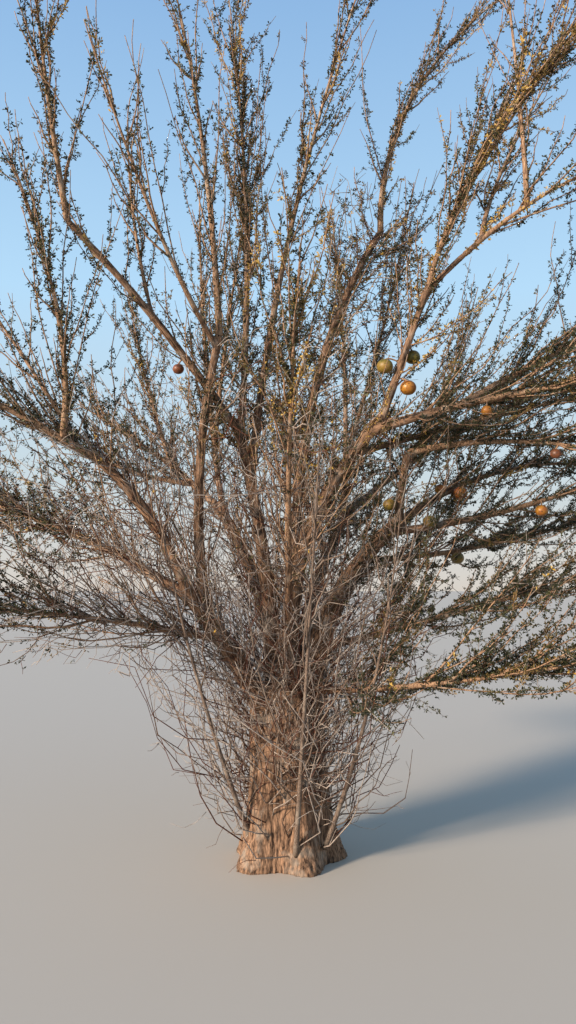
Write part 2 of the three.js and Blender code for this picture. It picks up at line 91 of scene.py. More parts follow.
# %% [markdown]
# ## Limbs as arcs
# Every limb is one bent line: a foot, a tip, and a bow that pulls its middle aside. Three points make a
# quadratic arc, which is smooth and needs no more than a few lines to follow. A limb that springs from
# another starts at a share of that one's length, so the whole tree hangs together when one limb is moved.

# %% The table of limbs
# in millimetres: foot or (parent, share), tip, bow, two radii, bare share, and the limb whose mass it joins
LIMB_ROWS = {
    "left": ((-110, -25, 800), (-560, -150, 1480), (10, 0, 10), (64, 46), 1),
    "centre": ((-80, 25, 860), (-300, 50, 2450), (50, 10, 10), (52, 30), 1),
    "right_centre": ((30, 0, 880), (540, -100, 2480), (-190, 50, 70), (58, 34), 1),
    "right": ((100, 15, 760), (670, 150, 1910), (-120, 10, 60), (80, 42), 1),
    "back_left": ((-60, 95, 790), (-530, 1100, 2120), (100, 0, 40), (54, 34), 1),
    "back_right": ((50, 100, 790), (450, 1100, 2080), (-80, -20, 40), (54, 34), 1),
    "left_mid": (("left", 1), (-1010, -400, 2190), (30, 0, 50), (36, 28), 1),
    "left_outer": (("left_mid", 1), (-1970, -800, 2670), (20, -40, 10), (26, 6), 0),
    "left_riser": (("left_outer", 0.2), (-1410, -900, 3720), (120, 0, -80), (16, 4), 0, "left_outer"),
    "left_edge": (("left_outer", 0.12), (-2030, -200, 3560), (160, 30, -210), (15, 4), 0, "left_outer"),
    "low_left": (("left", 0.93), (-2820, 400, 2220), (70, 60, 130), (32, 6), 0.3),
    "lowest_left": (("left", 0.6), (-1570, -1000, 1430), (-10, 20, 30), (24, 5), 0.3),
    "left_upright": (("left", 0.8), (-390, -250, 2940), (-80, 40, 10), (34, 24), 1),
    "left_top": (("left_upright", 1), (-630, -650, 4810), (30, 30, 120), (22, 5), 0),
    "left_inner": (("left_upright", 0.96), (-970, -1100, 4200), (0, 20, -140), (19, 4), 0.2),
    "upper_left": (("centre", 1), (-1200, -500, 3500), (10, 80, 50), (28, 20), 1),
    "upper_left_top": (("upper_left", 1), (-1310, -900, 4800), (0, -50, -40), (19, 4), 0),
    "upper_left_riser": (("upper_left", 0.55), (-930, -300, 4210), (-40, 20, 0), (14, 4), 0.15),
    "centre_top": (("centre", 0.97), (-380, 0, 5270), (70, 70, 0), (25, 4), 0.16),
    "centre_right_top": (("centre", 0.8), (490, -400, 5190), (-110, 160, 50), (28, 5), 0.25),
    "inner_right": (("right_centre", 0.35), (590, 200, 3770), (-140, -60, 100), (36, 23), 1),
    "inner_right_top": (("inner_right", 1), (1530, 300, 5550), (-240, 0, 60), (21, 5), 0),
    "front": (("right_centre", 0.22), (60, -1250, 3050), (-30, -90, 0), (26, 5), 0.25),
    "right_upright": (("right_centre", 1), (790, -300, 3200), (0, 0, 0), (28, 20), 1),
    "right_top": (("right_upright", 1), (1690, -900, 4540), (-120, 30, 90), (17, 5), 0),
    "right_riser": (("right_top", 0.12), (1730, -400, 4750), (-100, -120, -50), (14, 4), 0, "right_top"),
    "right_high": (("right_upright", 0.97), (1690, -1000, 3580), (20, 0, 130), (19, 5), 0.22),
    "right_high_riser": (("right_high", 0.28), (1740, 100, 4870), (-120, 0, -140), (13, 4), 0, "right_high"),
    "right_spur": (("right_high", 0.5), (1220, -400, 5440), (0, -80, -200), (13, 4), 0, "right_high"),
    "right_mid": (("right_centre", 0.96), (2090, -700, 2600), (-10, 0, 60), (31, 6), 0.26),
    "right_mid_spur": (("right_mid", 0.3), (2490, 100, 3350), (-20, 50, 20), (20, 5), 0, "right_mid"),
    "right_inner": (("right_centre", 0.86), (2290, 500, 2850), (0, 60, 30), (24, 5), 0.25),
    "right_elbow": (("right", 1), (720, 50, 2320), (-10, 0, 0), (30, 25), 1),
    "right_level": (("right_elbow", 1), (2220, -300, 2120), (0, -30, 120), (23, 5), 0),
    "right_low": (("right", 0.98), (2490, 1200, 2400), (-70, 10, 170), (28, 5), 0.35),
    "right_lower": (("right", 0.93), (2550, 300, 2450), (20, 0, -90), (28, 5), 0.3),
    "right_under": (("right", 0.76), (2410, 1400, 2080), (-50, 80, -70), (24, 5), 0.28),
    "low_right": (("right", 0.3), (2150, 200, 1680), (0, 0, -10), (26, 5), 0.25),
    "low_front": (("right", 0.12), (1490, -1000, 1200), (-50, -80, -30), (24, 5), 0.3),
    "back_left_low": (("back_left", 1), (-1970, 2300, 3210), (60, 50, 20), (30, 6), 0),
    "back_left_top": (("back_left", 0.92), (-690, 1200, 4680), (-60, 120, 0), (26, 6), 0.15),
    "back_right_low": (("back_right", 1), (2090, 2300, 3210), (-50, 40, 30), (30, 6), 0),
    "back_right_top": (("back_right", 0.92), (320, 1150, 4490), (70, 120, 0), (26, 6), 0.15),
    "back_middle": (("back_right", 0.7), (-120, 2500, 3260), (0, 40, -40), (28, 6), 0.2),
    "left_sucker": ((-190, -130, 110), (-700, -650, 2150), (-50, -60, 0), (20, 4), 0),
    "front_sucker": ((40, -240, 90), (150, -1000, 2250), (0, -40, -20), (20, 4), 0),
    "right_sucker": ((200, -150, 100), (560, -700, 1900), (60, -30, 0), (20, 4), 0),
    "back_left_riser": (
        ("back_left_low", 0.3), (-1410, 2000, 4150), (0, -60, -120), (16, 4), 0, "back_left_low"
    ),
    "back_left_side": (
        ("back_left_low", 0.16), (-2250, 1050, 3050), (0, 0, -160), (16, 4), 0, "back_left_low"
    ),
    "back_right_riser": (
        ("back_right_low", 0.34), (1640, 1900, 4100), (0, -60, -120), (16, 4), 0, "back_right_low"
    ),
    "back_left_inner": (
        ("back_left_top", 0.2), (-250, 620, 4450), (-20, -60, -60), (15, 4), 0, "back_left_top"
    ),
    "back_right_inner": (
        ("back_right_top", 0.2), (885, 640, 4350), (20, -20, -80), (15, 4), 0, "back_right_top"
    ),
}
MM = 0.001


# %% Points and headings on many arcs at once
def unit(v):
    return v / np.maximum(np.linalg.norm(v, axis=-1, keepdims=True), 1e-9)


def points_on(arcs, t):
    """Points of each arc (n, 3, 3) at its shares t (n, m)."""
    t = t[..., None]
    start, pull, tip = (arcs[:, None, k] for k in range(3))
    return start * (1 - t) ** 2 + pull * 2 * t * (1 - t) + tip * t**2


def headings_on(arcs, t):
    t = t[..., None]
    start, pull, tip = (arcs[:, None, k] for k in range(3))
    return unit(start * (t - 1) + pull * (1 - 2 * t) + tip * t)


def guides_of(arcs):
    """A fixed direction for each arc, well away from the way it runs."""
    across_y = np.abs(unit(arcs[:, 2] - arcs[:, 0])[:, 1]) < 0.8
    return np.where(across_y[:, None], [[0.0, 1.0, 0.0]], [[1.0, 0.0, 0.0]])


def across(headings, guides):
    """Two directions square to each heading."""
    a = unit(np.cross(guides, headings))
    return a, np.cross(headings, a)


def lengths_of(arcs):
    steps = points_on(arcs, np.linspace(0, 1, 21)[None].repeat(len(arcs), 0))
    return np.linalg.norm(np.diff(steps, axis=1), axis=2).sum(1)


# %% The limbs
limbs = {}
for number, (name, row) in enumerate(LIMB_ROWS.items()):
    foot, tip, bow, radii, bare = row[:5]
    on_tip = foot[1] == 1
    if isinstance(foot[0], str):
        foot = points_on(limbs[foot[0]].arc[None], np.array([[foot[1]]]))[0, 0]
    else:
        foot = np.array(foot) * MM
    tip = np.array(tip) * MM
    arc = np.array([foot, (foot + tip) / 2 + 2 * MM * np.array(bow), tip])
    limbs[name] = SimpleNamespace(
        name=name,
        number=number,
        arc=arc,
        length=lengths_of(arc[None])[0],
        radii=np.array(radii) * MM,
        bare=bare,
        on_tip=on_tip,
        mass=row[5] if len(row) > 5 else name,
        leafless=name.endswith("sucker"),
    )
print(len(limbs), "limbs,", round(sum(limb.length for limb in limbs.values()), 1), "metres in all")


COLLAR_SWELL, COLLAR_REACH = 0.3, 2.2


def radius_at(limb, t):
    """The limb's radius at share t, with the collar where it leaves its parent."""
    thin = limb.radii[1] + (limb.radii[0] - limb.radii[1]) * (1 - t)
    if limb.on_tip:
        return thin
    return thin * (1 + COLLAR_SWELL * np.exp(-t * limb.length / (COLLAR_REACH * limb.radii[0])))


# %% [markdown]
# ## Trunk and boughs in one skin
# A living tree has no seams: its bark runs on from the trunk into each bough. Separate tubes would show a
# hard line at every fork, and a skin laid by hand over thirty forks would take days. So each limb starts as
# a bevelled curve with its own taper, the trunk as a disc that is extruded upwards ring by ring, and a
# voxel remesh then melts them together, which rounds the forks as real wood does.

# %% Bevelled curves for the boughs
FOOT_SUNK = 0.6
STEM_SUNK, SUNK_WIDTH = 0.04, 0.75
BOUGH_STEP = 0.08


def add_bough(limb):
    """The bare stretch of a limb as a bevelled curve, turned into a mesh."""
    end = limb.bare if limb.bare == 1 else limb.bare + STEM_SUNK / limb.length
    start = -FOOT_SUNK * limb.radii[0] / limb.length if limb.on_tip else 0
    count = max(6, round(limb.length * (end - start) / BOUGH_STEP))
    shares = np.linspace(start, end, count)
    curve = bpy.data.curves.new(limb.name, "CURVE")
    curve.dimensions = "3D"
    curve.bevel_depth = 1
    curve.bevel_resolution = 3
    curve.use_fill_caps = True
    spline = curve.splines.new("POLY")
    spline.points.add(count - 1)
    for point, spot, share in zip(spline.points, points_on(limb.arc[None], shares[None])[0], shares):
        point.co = (*spot, 1)
        point.radius = radius_at(limb, share) * (SUNK_WIDTH if share > limb.bare else 1)
    bough = bpy.data.objects.new(limb.name, curve)
    bpy.context.collection.objects.link(bough)
    bough.select_set(True)
    bpy.context.view_layer.objects.active = bough
    bpy.ops.object.convert(target="MESH")
    bpy.ops.object.select_all(action="DESELECT")
    return bough


boughs = [add_bough(limb) for limb in limbs.values() if limb.bare > 0]
print(len(boughs), "boughs")


# %% The trunk, extruded from a disc
TRUNK_HEIGHT, TRUNK_WAIST, TRUNK_FLARE, FLARE_HEIGHT, TRUNK_LEAN = 0.99, 0.2, 0.09, 0.24, -0.02
RING_HEIGHTS = (0, 0.03, 0.06, 0.11, 0.17, 0.25, 0.34, 0.45, 0.56, 0.66, 0.76, 0.88, 0.95, 1)
SHOULDER_AT = (0, 0.7, 0.76, 0.88, 0.95, 1)
SHOULDER = (1, 1, 1.03, 0.98, 0.8, 0.4)
FLUTES, FLUTE_DEPTH, FOOT_FLUTE_DEPTH, OVAL = 5, 0.05, 0.1, 0.05


def add_trunk():
    bpy.ops.mesh.primitive_circle_add(vertices=80, radius=TRUNK_WAIST + TRUNK_FLARE, fill_type="NGON")
    trunk = bpy.context.object
    bpy.ops.object.mode_set(mode="EDIT")
    bpy.ops.mesh.select_all(action="SELECT")
    wide = TRUNK_WAIST + TRUNK_FLARE
    for low, high in zip(RING_HEIGHTS, RING_HEIGHTS[1:]):
        shift = (TRUNK_LEAN * (high - low), 0, (high - low) * TRUNK_HEIGHT)
        bpy.ops.mesh.extrude_region_move(TRANSFORM_OT_translate={"value": shift})
        flare = TRUNK_FLARE * math.exp(-high * TRUNK_HEIGHT / FLARE_HEIGHT)
        now = (TRUNK_WAIST + flare) * np.interp(high, SHOULDER_AT, SHOULDER)
        centre = (TRUNK_LEAN * high, 0, high * TRUNK_HEIGHT)
        bpy.ops.transform.resize(value=(now / wide, now / wide, 1), center_override=centre)
        wide = now
    bpy.ops.mesh.select_all(action="SELECT")
    bpy.ops.mesh.normals_make_consistent(inside=False)
    bpy.ops.object.mode_set(mode="OBJECT")
    return trunk


def flute(trunk):
    """Flutes, deepest at the ground, and a slightly oval section."""
    for corner in trunk.data.vertices:
        x, y, z = corner.co
        lean = TRUNK_LEAN * z / TRUNK_HEIGHT
        turn = math.atan2(-y, x - lean)
        flare = math.exp(-z / FLARE_HEIGHT)
        flutes = (FLUTE_DEPTH + FOOT_FLUTE_DEPTH * flare) * math.cos(FLUTES * turn + 0.6)
        swell = 1 + flutes + OVAL * math.cos(2 * turn + 1)
        corner.co.x, corner.co.y = lean + (x - lean) * swell, y * swell


trunk = add_trunk()
flute(trunk)

# %% One skin over all of them
VOXEL = 0.01


def join(pieces, name):
    """One object from several. The first of them takes up the others."""
    bpy.ops.object.select_all(action="DESELECT")
    for piece in pieces:
        piece.select_set(True)
    bpy.context.view_layer.objects.active = pieces[0]
    bpy.ops.object.join()
    bpy.context.object.name = name
    return bpy.context.object


def shape_by(piece, kind, **settings):
    """Adds a modifier to the piece and applies it at once."""
    modifier = piece.modifiers.new(kind, kind)
    for key, value in settings.items():
        setattr(modifier, key, value)
    bpy.ops.object.modifier_apply(modifier=modifier.name)


wood = join([trunk] + boughs, "trunk_and_boughs")
shape_by(wood, "REMESH", mode="VOXEL", voxel_size=VOXEL)
shape_by(wood, "SMOOTH", factor=0.5, iterations=4)
print("skin:", len(wood.data.vertices), "corners,", 2 * len(wood.data.polygons), "triangles")

# %% [markdown]
# ## Relief of the bark
# Old bark of this tree is corky, with shallow furrows that run along the limb and break into scales. A
# pattern on plain object axes would run straight up through a level bough. So each corner of the skin is
# told where it lies on the nearest limb: how far along, and which side. The furrows then follow every bend.
# The same values are kept as an attribute, so that the material's fine grain runs with them.

# %% Where each corner lies on its limb
PLACE_STEP, LIMB_GAP = 0.02, 1
TRUNK_MIDDLE, MIDDLE_LENGTH = ((0, 0, -0.1), (TRUNK_LEAN / 2, 0, 0.45), (TRUNK_LEAN, 0, 1.0)), 1.1


def limb_places():
    """For points close together on every limb's middle line: place, limb frame and distance from the foot."""
    spots, frames, ways = [], [], []
    start = 0.0
    lines = [(np.array(TRUNK_MIDDLE), MIDDLE_LENGTH, 1)]
    lines += [(limb.arc, limb.length, limb.bare) for limb in limbs.values() if limb.bare > 0]
    for arc, length, bare in lines:
        shares = np.linspace(0, min(1, bare + 0.05), max(4, int(length * bare / PLACE_STEP)))[None]
        heading = headings_on(arc[None], shares)[0]
        a, b = across(heading, guides_of(arc[None]))
        spots.append(points_on(arc[None], shares)[0])
        frames.append(np.stack([a, b, heading], 1))
        ways.append(start + shares[0] * length)
        start += length + LIMB_GAP
    return np.concatenate(spots), np.concatenate(frames), np.concatenate(ways)


def place_on_limbs(corners):
    """Each corner's place on the nearest limb, in metres: twice across it and once along it."""
    spots, frames, ways = limb_places()
    tree = kdtree.KDTree(len(spots))
    for k, spot in enumerate(spots):
        tree.insert(spot, k)
    tree.balance()
    near = np.array([tree.find(corner)[1] for corner in corners])
    offset = np.einsum("nij,nj->ni", frames[near], corners - spots[near])
    return np.column_stack([offset[:, 0], offset[:, 1], ways[near] + offset[:, 2]])


def vectors_of(mesh, key="co"):
    """The places, or the normals, of all corners of a mesh as one array."""
    values = np.empty(len(mesh.vertices) * 3)
    mesh.vertices.foreach_get(key, values)
    return values.reshape(-1, 3)


corners = vectors_of(wood.data)
grain = place_on_limbs(corners)

# %% Furrows, scales and knots
# metres on a thin limb, then how much more for each metre of width past a start
FURROW_DEPTH, LUMP_HEIGHT = (0.002, 0.03, 0.03), (0.003, 0.02, 0.05)
# how fine each pattern is across the limb and along it, and its shift across
FURROWS, FINE_GRAIN, LUMPS = (38, 4, 0, 0), (90, 12, 9, 0), (12, 9, 0, 5)
ON_GROUND = 0.004


def by_width(wide, least, gain, start):
    return least + gain * max(0.0, wide - start)


def pattern(place, fine_across, fine_along, x_shift, y_shift):
    x, y, s = place
    return noise.noise(Vector((x * fine_across + x_shift, y * fine_across + y_shift, s * fine_along)))


def relief(place):
    """How far the bark stands out at a place on its limb, in metres."""
    wide = math.hypot(place[0], place[1])
    furrow, fine, lump = (pattern(place, *values) for values in (FURROWS, FINE_GRAIN, LUMPS))
    ridges = 1.1 * (0.35 - abs(furrow) * 2) + 0.4 * fine
    return by_width(wide, *FURROW_DEPTH) * ridges + by_width(wide, *LUMP_HEIGHT) * lump


normals = vectors_of(wood.data, "normal")
heights = np.array([relief(place) for place in grain])
on_ground = corners[:, 2] < ON_GROUND
normals[on_ground, 2] = 0
shaped = corners + normals * heights[:, None]
shaped[:, 2] = np.maximum(shaped[:, 2], 0)
shaped[on_ground, 2] = 0
wood.data.vertices.foreach_set("co", shaped.ravel())
grain_values = wood.data.attributes.new("grain", "FLOAT_VECTOR", "POINT").data
grain_values.foreach_set("vector", grain.astype(np.float32).ravel())
wood.data.update()
bpy.ops.object.select_all(action="DESELECT")
wood.select_set(True)
bpy.ops.object.shade_smooth()
print("relief from", round(heights.min() * 1000, 1), "to", round(heights.max() * 1000, 1), "mm")

# %% [markdown]
# ## The growing rule
# Every rod leaves its limb at a seeded place and angle, turned by the golden angle from the one before, so
# that no two stand one above the other. Then it bends upwards to the light. The same rule with smaller
# values makes the side twigs on the rods. A rod that would cross into another limb's space is tried
# shorter, which keeps the gaps of sky between the limbs.

# %% The numbers of the growing rule
GOLDEN_ANGLE = 2.39996
ROD = SimpleNamespace(
    per_metre=7, first_at=0.09, place_spread=0.6, crowding=0.85, last_at=0.97, longest=1.15, least=0.6,
    shortening=0.4, upright_cut=0.6, shortest=0.28, angle=16, angle_spread=24, turn_spread=0.9,
    upper_side=0.75, lift=0.3, lift_spread=0.35, level_lift=0.5,
)


def changed(rule, **values):
    """A copy of a rule with some of its numbers changed."""
    return SimpleNamespace(**{**vars(rule), **values})


SUCKER_ROD = changed(ROD, longest=1.7, upright_cut=0)
LENGTH_TRIES = (1, 0.75, 0.55, 0.4)


# %% Seeded draws and one shoot
def draws_from(seed):
    state = (seed * 7919 + 12345) % 2**32
    while True:
        state = (state * 1664525 + 1013904223) % 2**32
        yield state / 2**32


def shoot_arc(arc, length, bare, rule, seed, k, count, longest, share_of_length=1):
    """Shoot number k of count on a stem: its arc, its length and where along the stem it springs."""
    draw = draws_from(seed + k)
    usable, first = 1 - bare, rule.first_at / length
    place = ((k + rule.place_spread * next(draw)) / count) ** rule.crowding * rule.last_at
    along = bare + first + (usable - first) * place
    share = np.array([[along]])
    start, heading = points_on(arc[None], share)[0, 0], headings_on(arc[None], share)[0, 0]
    a, b = across(heading, guides_of(arc[None])[0])
    turn = GOLDEN_ANGLE * k + rule.turn_spread * next(draw)
    angle = math.radians(rule.angle + rule.angle_spread * next(draw))
    out = a * math.cos(turn) + b * math.sin(turn)
    level = 1 - abs(heading[2])
    out[2] += rule.upper_side * level
    out = unit(out - heading * (out @ heading))
    leave = heading * math.cos(angle) + out * math.sin(angle)
    rise = leave.copy()
    rise[2] += rule.lift + rule.lift_spread * next(draw) + rule.level_lift * level
    luck = rule.least + (1 - rule.least) * next(draw)
    size = longest * (1 - rule.upright_cut * heading[2] ** 2) * luck * share_of_length
    size *= 1 - rule.shortening * (along - bare) / usable
    pull = start + leave * size / 2
    return np.array([start, pull, pull + unit(rise) * size / 2]), size, along


# %% [markdown]
# ## Room for every limb
# A young shoot keeps to the light, so it doesn't push into the shoots of the next limb. Here that is a
# test: each point of a rod has to be nearer to its own limb than to any other. What remains open between
# the limbs is sky.

# %% A limb's own space
PATH_STEPS, TRUNK_ROOM = 12, 1.2 * TRUNK_WAIST
SHARES = np.linspace(0, 1, PATH_STEPS + 1)[None]
paths = np.concatenate([points_on(limb.arc[None], SHARES) for limb in limbs.values()])
widths = np.array([limb.radii[0] for limb in limbs.values()])
masses = np.array([limb.mass for limb in limbs.values()])
trunk_line = np.array([[[0, 0, 0], [TRUNK_LEAN, 0, TRUNK_HEIGHT]]])


def distances(points, lines):
    """Distance from each point to each line of joined segments."""
    a, d = lines[:, :-1], np.diff(lines, axis=1)
    gap = points[:, None, None] - a
    t = np.clip((gap * d).sum(-1) / (d * d).sum(-1), 0, 1)
    return np.linalg.norm(gap - t[..., None] * d, axis=-1).min(-1)


def in_own_space(limb, points, room):
    """Which points are nearer to this limb than to any other, and clear of trunk and bare bough."""
    away = distances(points, paths)
    own = away[:, masses == limb.mass].min(1)
    others = (away - widths)[:, masses != limb.mass].min(1)
    free = (others >= own + 2 * room) & (distances(points, trunk_line)[:, 0] > TRUNK_ROOM + room)
    if 0 < limb.bare < 1:
        bough = points_on(limb.arc[None], SHARES * limb.bare)
        free &= distances(points, bough)[:, 0] >= limb.radii[0] + room
    return free


# %% [markdown]
# ## Crooked twigs
# No twig is a clean arc. Two waves, a slow and a quick one, push it aside by a hundredth or two of its
# length. The waves start at nothing, so that the foot stays on the parent, and every number comes from the
# twig's own seed.

# %% Crooked lines for many twigs
CROOK_SEED = 77
# each wave: how many radians it runs through, its least width and how much more, as shares of the length
SLOW_WAVE, QUICK_WAVE = (5.5, 0.01, 0.022), (14, 0.006, 0.012)


def wave_width(wave, luck):
    return wave[1] + wave[2] * luck


def crook_of(seeds):
    """Five seeded numbers from 0 to 1 for each twig."""
    return np.array([[next(draw) for _ in range(5)] for draw in map(draws_from, seeds)])


def pack_twigs(chosen):
    """The twigs' values as arrays, with the bends that make each a little crooked."""
    luck = crook_of([t.seed + CROOK_SEED for t in chosen])
    arcs = np.array([t.arc for t in chosen])
    lengths = np.array([t.length for t in chosen])
    heading = headings_on(arcs, np.full((len(chosen), 1), 0.5))[:, 0]
    a, b = across(heading, guides_of(arcs))
    turn = luck[:, :1] * 2 * np.pi
    bend = lengths * np.array([t.bend for t in chosen])
    return SimpleNamespace(
        arcs=arcs,
        lengths=lengths,
        thick=np.array([t.thick for t in chosen]),
        thin=np.array([t.thin for t in chosen]),
        sway=(a * np.cos(turn) + b * np.sin(turn)) * (bend * wave_width(SLOW_WAVE, luck[:, 1]))[:, None],
        kink=(b * np.cos(turn) - a * np.sin(turn)) * (bend * wave_width(QUICK_WAVE, luck[:, 2]))[:, None],
        phase=luck[:, 3:] * 2 * np.pi,
        luck=luck,
    )


def crooked_points(pack, which, t):
    """Points on the chosen twigs at shares t, swayed off their arcs but not at their feet."""
    spots = points_on(pack.arcs[which], t)
    sway = np.sin(t * SLOW_WAVE[0] + pack.phase[which, :1]) - np.sin(pack.phase[which, :1])
    kink = np.sin(t * QUICK_WAVE[0] + pack.phase[which, 1:]) - np.sin(pack.phase[which, 1:])
    return spots + pack.sway[which, None] * sway[..., None] + pack.kink[which, None] * kink[..., None]


# %% [markdown]
# ## Places for the gourds
# The fruit grows straight from old wood, on short thick stalks. Its places are worked out before the twigs,
# because a heavy ball pushes twigs and leaves aside, and none should run through it. It also ripens where
# light comes through, so leaves keep out of a short way from each gourd towards the sun.

# %% Where the gourds hang
# limb, share along it, way from the limb, size in millimetres, and which of the gourd materials
GOURDS = [
    ("upper_left", 0.33, (-0.8, -0.2, -0.6), 66, 2),
    ("right_upright", 0.4, (-0.95, -0.2, 0.1), 92, 0),
    ("right_upright", 0.5, (0.7, 0.7, 0.1), 88, 0),
    ("right_upright", 0.28, (0.9, -0.3, -0.3), 92, 1),
    ("right_mid", 0.38, (0.1, -0.3, -1), 60, 1),
    ("right_low", 0.2, (-0.2, -0.9, 0.4), 70, 1),
    ("right_low", 0.26, (0.3, -0.9, -0.5), 92, 1),
    ("right_elbow", 0.24, (-0.9, -0.7, 0), 80, 0),
    ("right_lower", 0.12, (0.1, -1, 0.4), 80, 0),
    ("right_lower", 0.47, (0.2, -0.6, -0.8), 76, 1),
    ("right_under", 0.37, (0, -0.8, -0.7), 86, 0),
    ("right_level", 0.54, (-0.1, -0.2, -1), 62, 2),
]
STALK_LENGTH, STALK_HIGHER = 0.016, 0.03
SUN_AT, SUN_AIM = Vector((-15, -12.5, 7)), Vector((0, 0, 1.8))
TO_SUN = unit(np.array(SUN_AT - SUN_AIM))
LIT_WAY = 0.8


def hang(name, at, way, size):
    """Two places on the limb, and the middle of the gourd that hangs there."""
    limb = limbs[name]
    spots = points_on(limb.arc[None], np.array([[at, at + STALK_HIGHER / limb.length]]))[0]
    reach = radius_at(limb, at) + STALK_LENGTH + size * MM / 2
    return spots, spots[0] + unit(np.array(way, float)) * reach


gourd_places = [hang(name, at, way, size) for name, at, way, size, _ in GOURDS]
gourd_middles = np.array([middle for _, middle in gourd_places])
gourd_radii = np.array([row[3] * MM / 2 for row in GOURDS])


def clear_of_gourds(points, room, lit=0.0):
    """Which points are further than room from every gourd and from its first lit metres to the sun."""
    gap = points[..., None, :] - gourd_middles
    gap = gap - np.clip(gap @ TO_SUN, 0, lit)[..., None] * TO_SUN
    return (np.linalg.norm(gap, axis=-1) - gourd_radii > room).all(-1)


# %% [markdown]
# ## Rods
# These are the main shoots of the year on every limb. They follow the table of the growing rule exactly.
# Then the same rule is handed other parents and other numbers: inner rods on the bare boughs, whips that
# run close beside a limb and make a thick leafy column with it, and lesser rods on the rods themselves.
# Some columns of a real tree are thick and others thin, so a table gives each such limb its vigour, as
# against 1 for the rest.

# %% What the twigs have to know
VIGOUR = {
    "left_edge": 0.5, "left_outer": 0.8, "left_mid": 0.8, "left_upright": 0.65, "left_top": 0.8,
    "left_inner": 0.6, "left_riser": 1.2, "upper_left_top": 1.2, "upper_left_riser": 0.8,
    "centre_top": 2.4, "inner_right": 1.8, "right_upright": 3, "right_top": 2.6, "right_riser": 0.4,
    "right_spur": 0.4, "right_high_riser": 0.8, "right_mid": 1.3, "right_mid_spur": 1.3,
    "back_left_side": 0.6, "back_left_low": 0.8, "back_left_riser": 1.7, "back_right_inner": 1.4,
    "back_right_riser": 1.5,
}
BOX_SPARE, LOWEST = 0.09, 0.05
box_low, box_high = (np.array(corner) for corner in cad_box)
twigs = []


def in_box(points, spare):
    return ((points > box_low - spare) & (points < box_high + spare)).all((-1, -2))


def leafiness(limb):
    """A limb that lacks vigour has fewer leaves, and a sucker has none."""
    return 0 if limb.leafless else min(1, VIGOUR.get(limb.name, 1))


def as_shoot(limb, arc, length, thick, thin, seed, **more):
    """A shoot, or a stretch of limb that carries shoots."""
    made = dict(limb=limb, arc=arc, length=length, thick=thick, thin=thin, seed=seed)
    return SimpleNamespace(**{**made, "bare": 0, "bend": 1, "parent": None, **more})


def keep_twig(kind, leafy, limb, *values, **more):
    """Notes a twig. Its leafiness is a share of its limb's."""
    twigs.append(as_shoot(limb, *values, kind=kind, leafy=leafy * leafiness(limb), **more))
    return twigs[-1]


# %% Every rod of the crown
ROD_THICK, SUCKER_ROD_THICK, ROD_TIP, THICKEST_SHARE = 0.007, 0.005, 0.0018, 0.65
SUCKER_BEND, ROD_ROOM = 2.5, 0.01
for limb in limbs.values():
    if limb.bare == 1:
        continue
    rule = SUCKER_ROD if limb.leafless else ROD
    seed, stem = limb.number * 1000, (limb.arc, limb.length, limb.bare)
    count = round((1 - limb.bare) * limb.length * rule.per_metre)
    for k in range(count):
        for share in LENGTH_TRIES:
            arc, length, along = shoot_arc(*stem, rule, seed, k, count, rule.longest, share)
            checks = points_on(arc[None], np.arange(2, 7)[None] / 6)[0]
            fits = length >= rule.shortest and in_box(checks, BOX_SPARE) and checks[:, 2].min() > LOWEST
            if fits and in_own_space(limb, checks, ROD_ROOM).all():
                thick, bend = (SUCKER_ROD_THICK, SUCKER_BEND) if limb.leafless else (ROD_THICK, 1)
                thick = min(thick, THICKEST_SHARE * radius_at(limb, along))
                keep_twig("rod", 1, limb, arc, length, thick, ROD_TIP, seed + k, bend=bend)
                break
rods = list(twigs)
print(len(rods), "rods,", round(sum(t.length for t in rods)), "metres")


# %% The same rule on other parents
FULL_BELOW, FULL_OVER, FULLER_BY = 3.3, 1.2, 1.2
TIP_SHARE = 0.4


def fullness(parent):
    """The lower half of the crown is fuller of side shoots than the tall rods above it."""
    low = np.clip((FULL_BELOW - parent.arc[:, 2].mean()) / FULL_OVER, 0, 1)
    return (1 + FULLER_BY * low) * VIGOUR.get(parent.limb.name, 1)


def grow(parents, rule, per_metre, longest, first_seed, thick, kind, leafy=1.0, bend=1.0):
    """Grows shoots by the rule on each parent. The longest is a length, or a function of the parent."""
    grown, feet = [], []
    for number, parent in enumerate(parents):
        count = round(parent.length * per_metre * fullness(parent))
        limit = longest(parent) if callable(longest) else longest
        seed, stem = first_seed + parent.seed * 40, (parent.arc, parent.length, parent.bare)
        for k in range(count):
            arc, length, along = shoot_arc(*stem, rule, seed, k, count, limit)
            checks = points_on(arc[None], np.array([[0.6, 1]]))[0]
            if length >= rule.shortest and in_box(checks, BOX_SPARE) and checks[:, 2].min() > LOWEST:
                values = parent.limb, arc, length, thick, TIP_SHARE * thick, seed + k
                grown.append(keep_twig(kind, leafy, *values, bend=bend, parent=parent))
                feet.append((number, along))
    # a parent is crooked, so each shoot is moved along with the place that it springs from
    which, along = np.array([foot[0] for foot in feet]), np.array([[foot[1]] for foot in feet])
    pack = pack_twigs(parents)
    steps = crooked_points(pack, which, along) - points_on(pack.arcs[which], along)
    for twig, step in zip(grown, steps[:, 0]):
        twig.arc = twig.arc + step
    print(len(grown), kind, "twigs,", round(sum(t.length for t in grown)), "metres")
    return grown


# %% Stretches of limb that carry shoots
LOW_MIDDLE_X, LOW_MIDDLE_Z, LOW_MIDDLE_WIDTH = -0.4, 1.5, 0.9
HIGH = 2.6


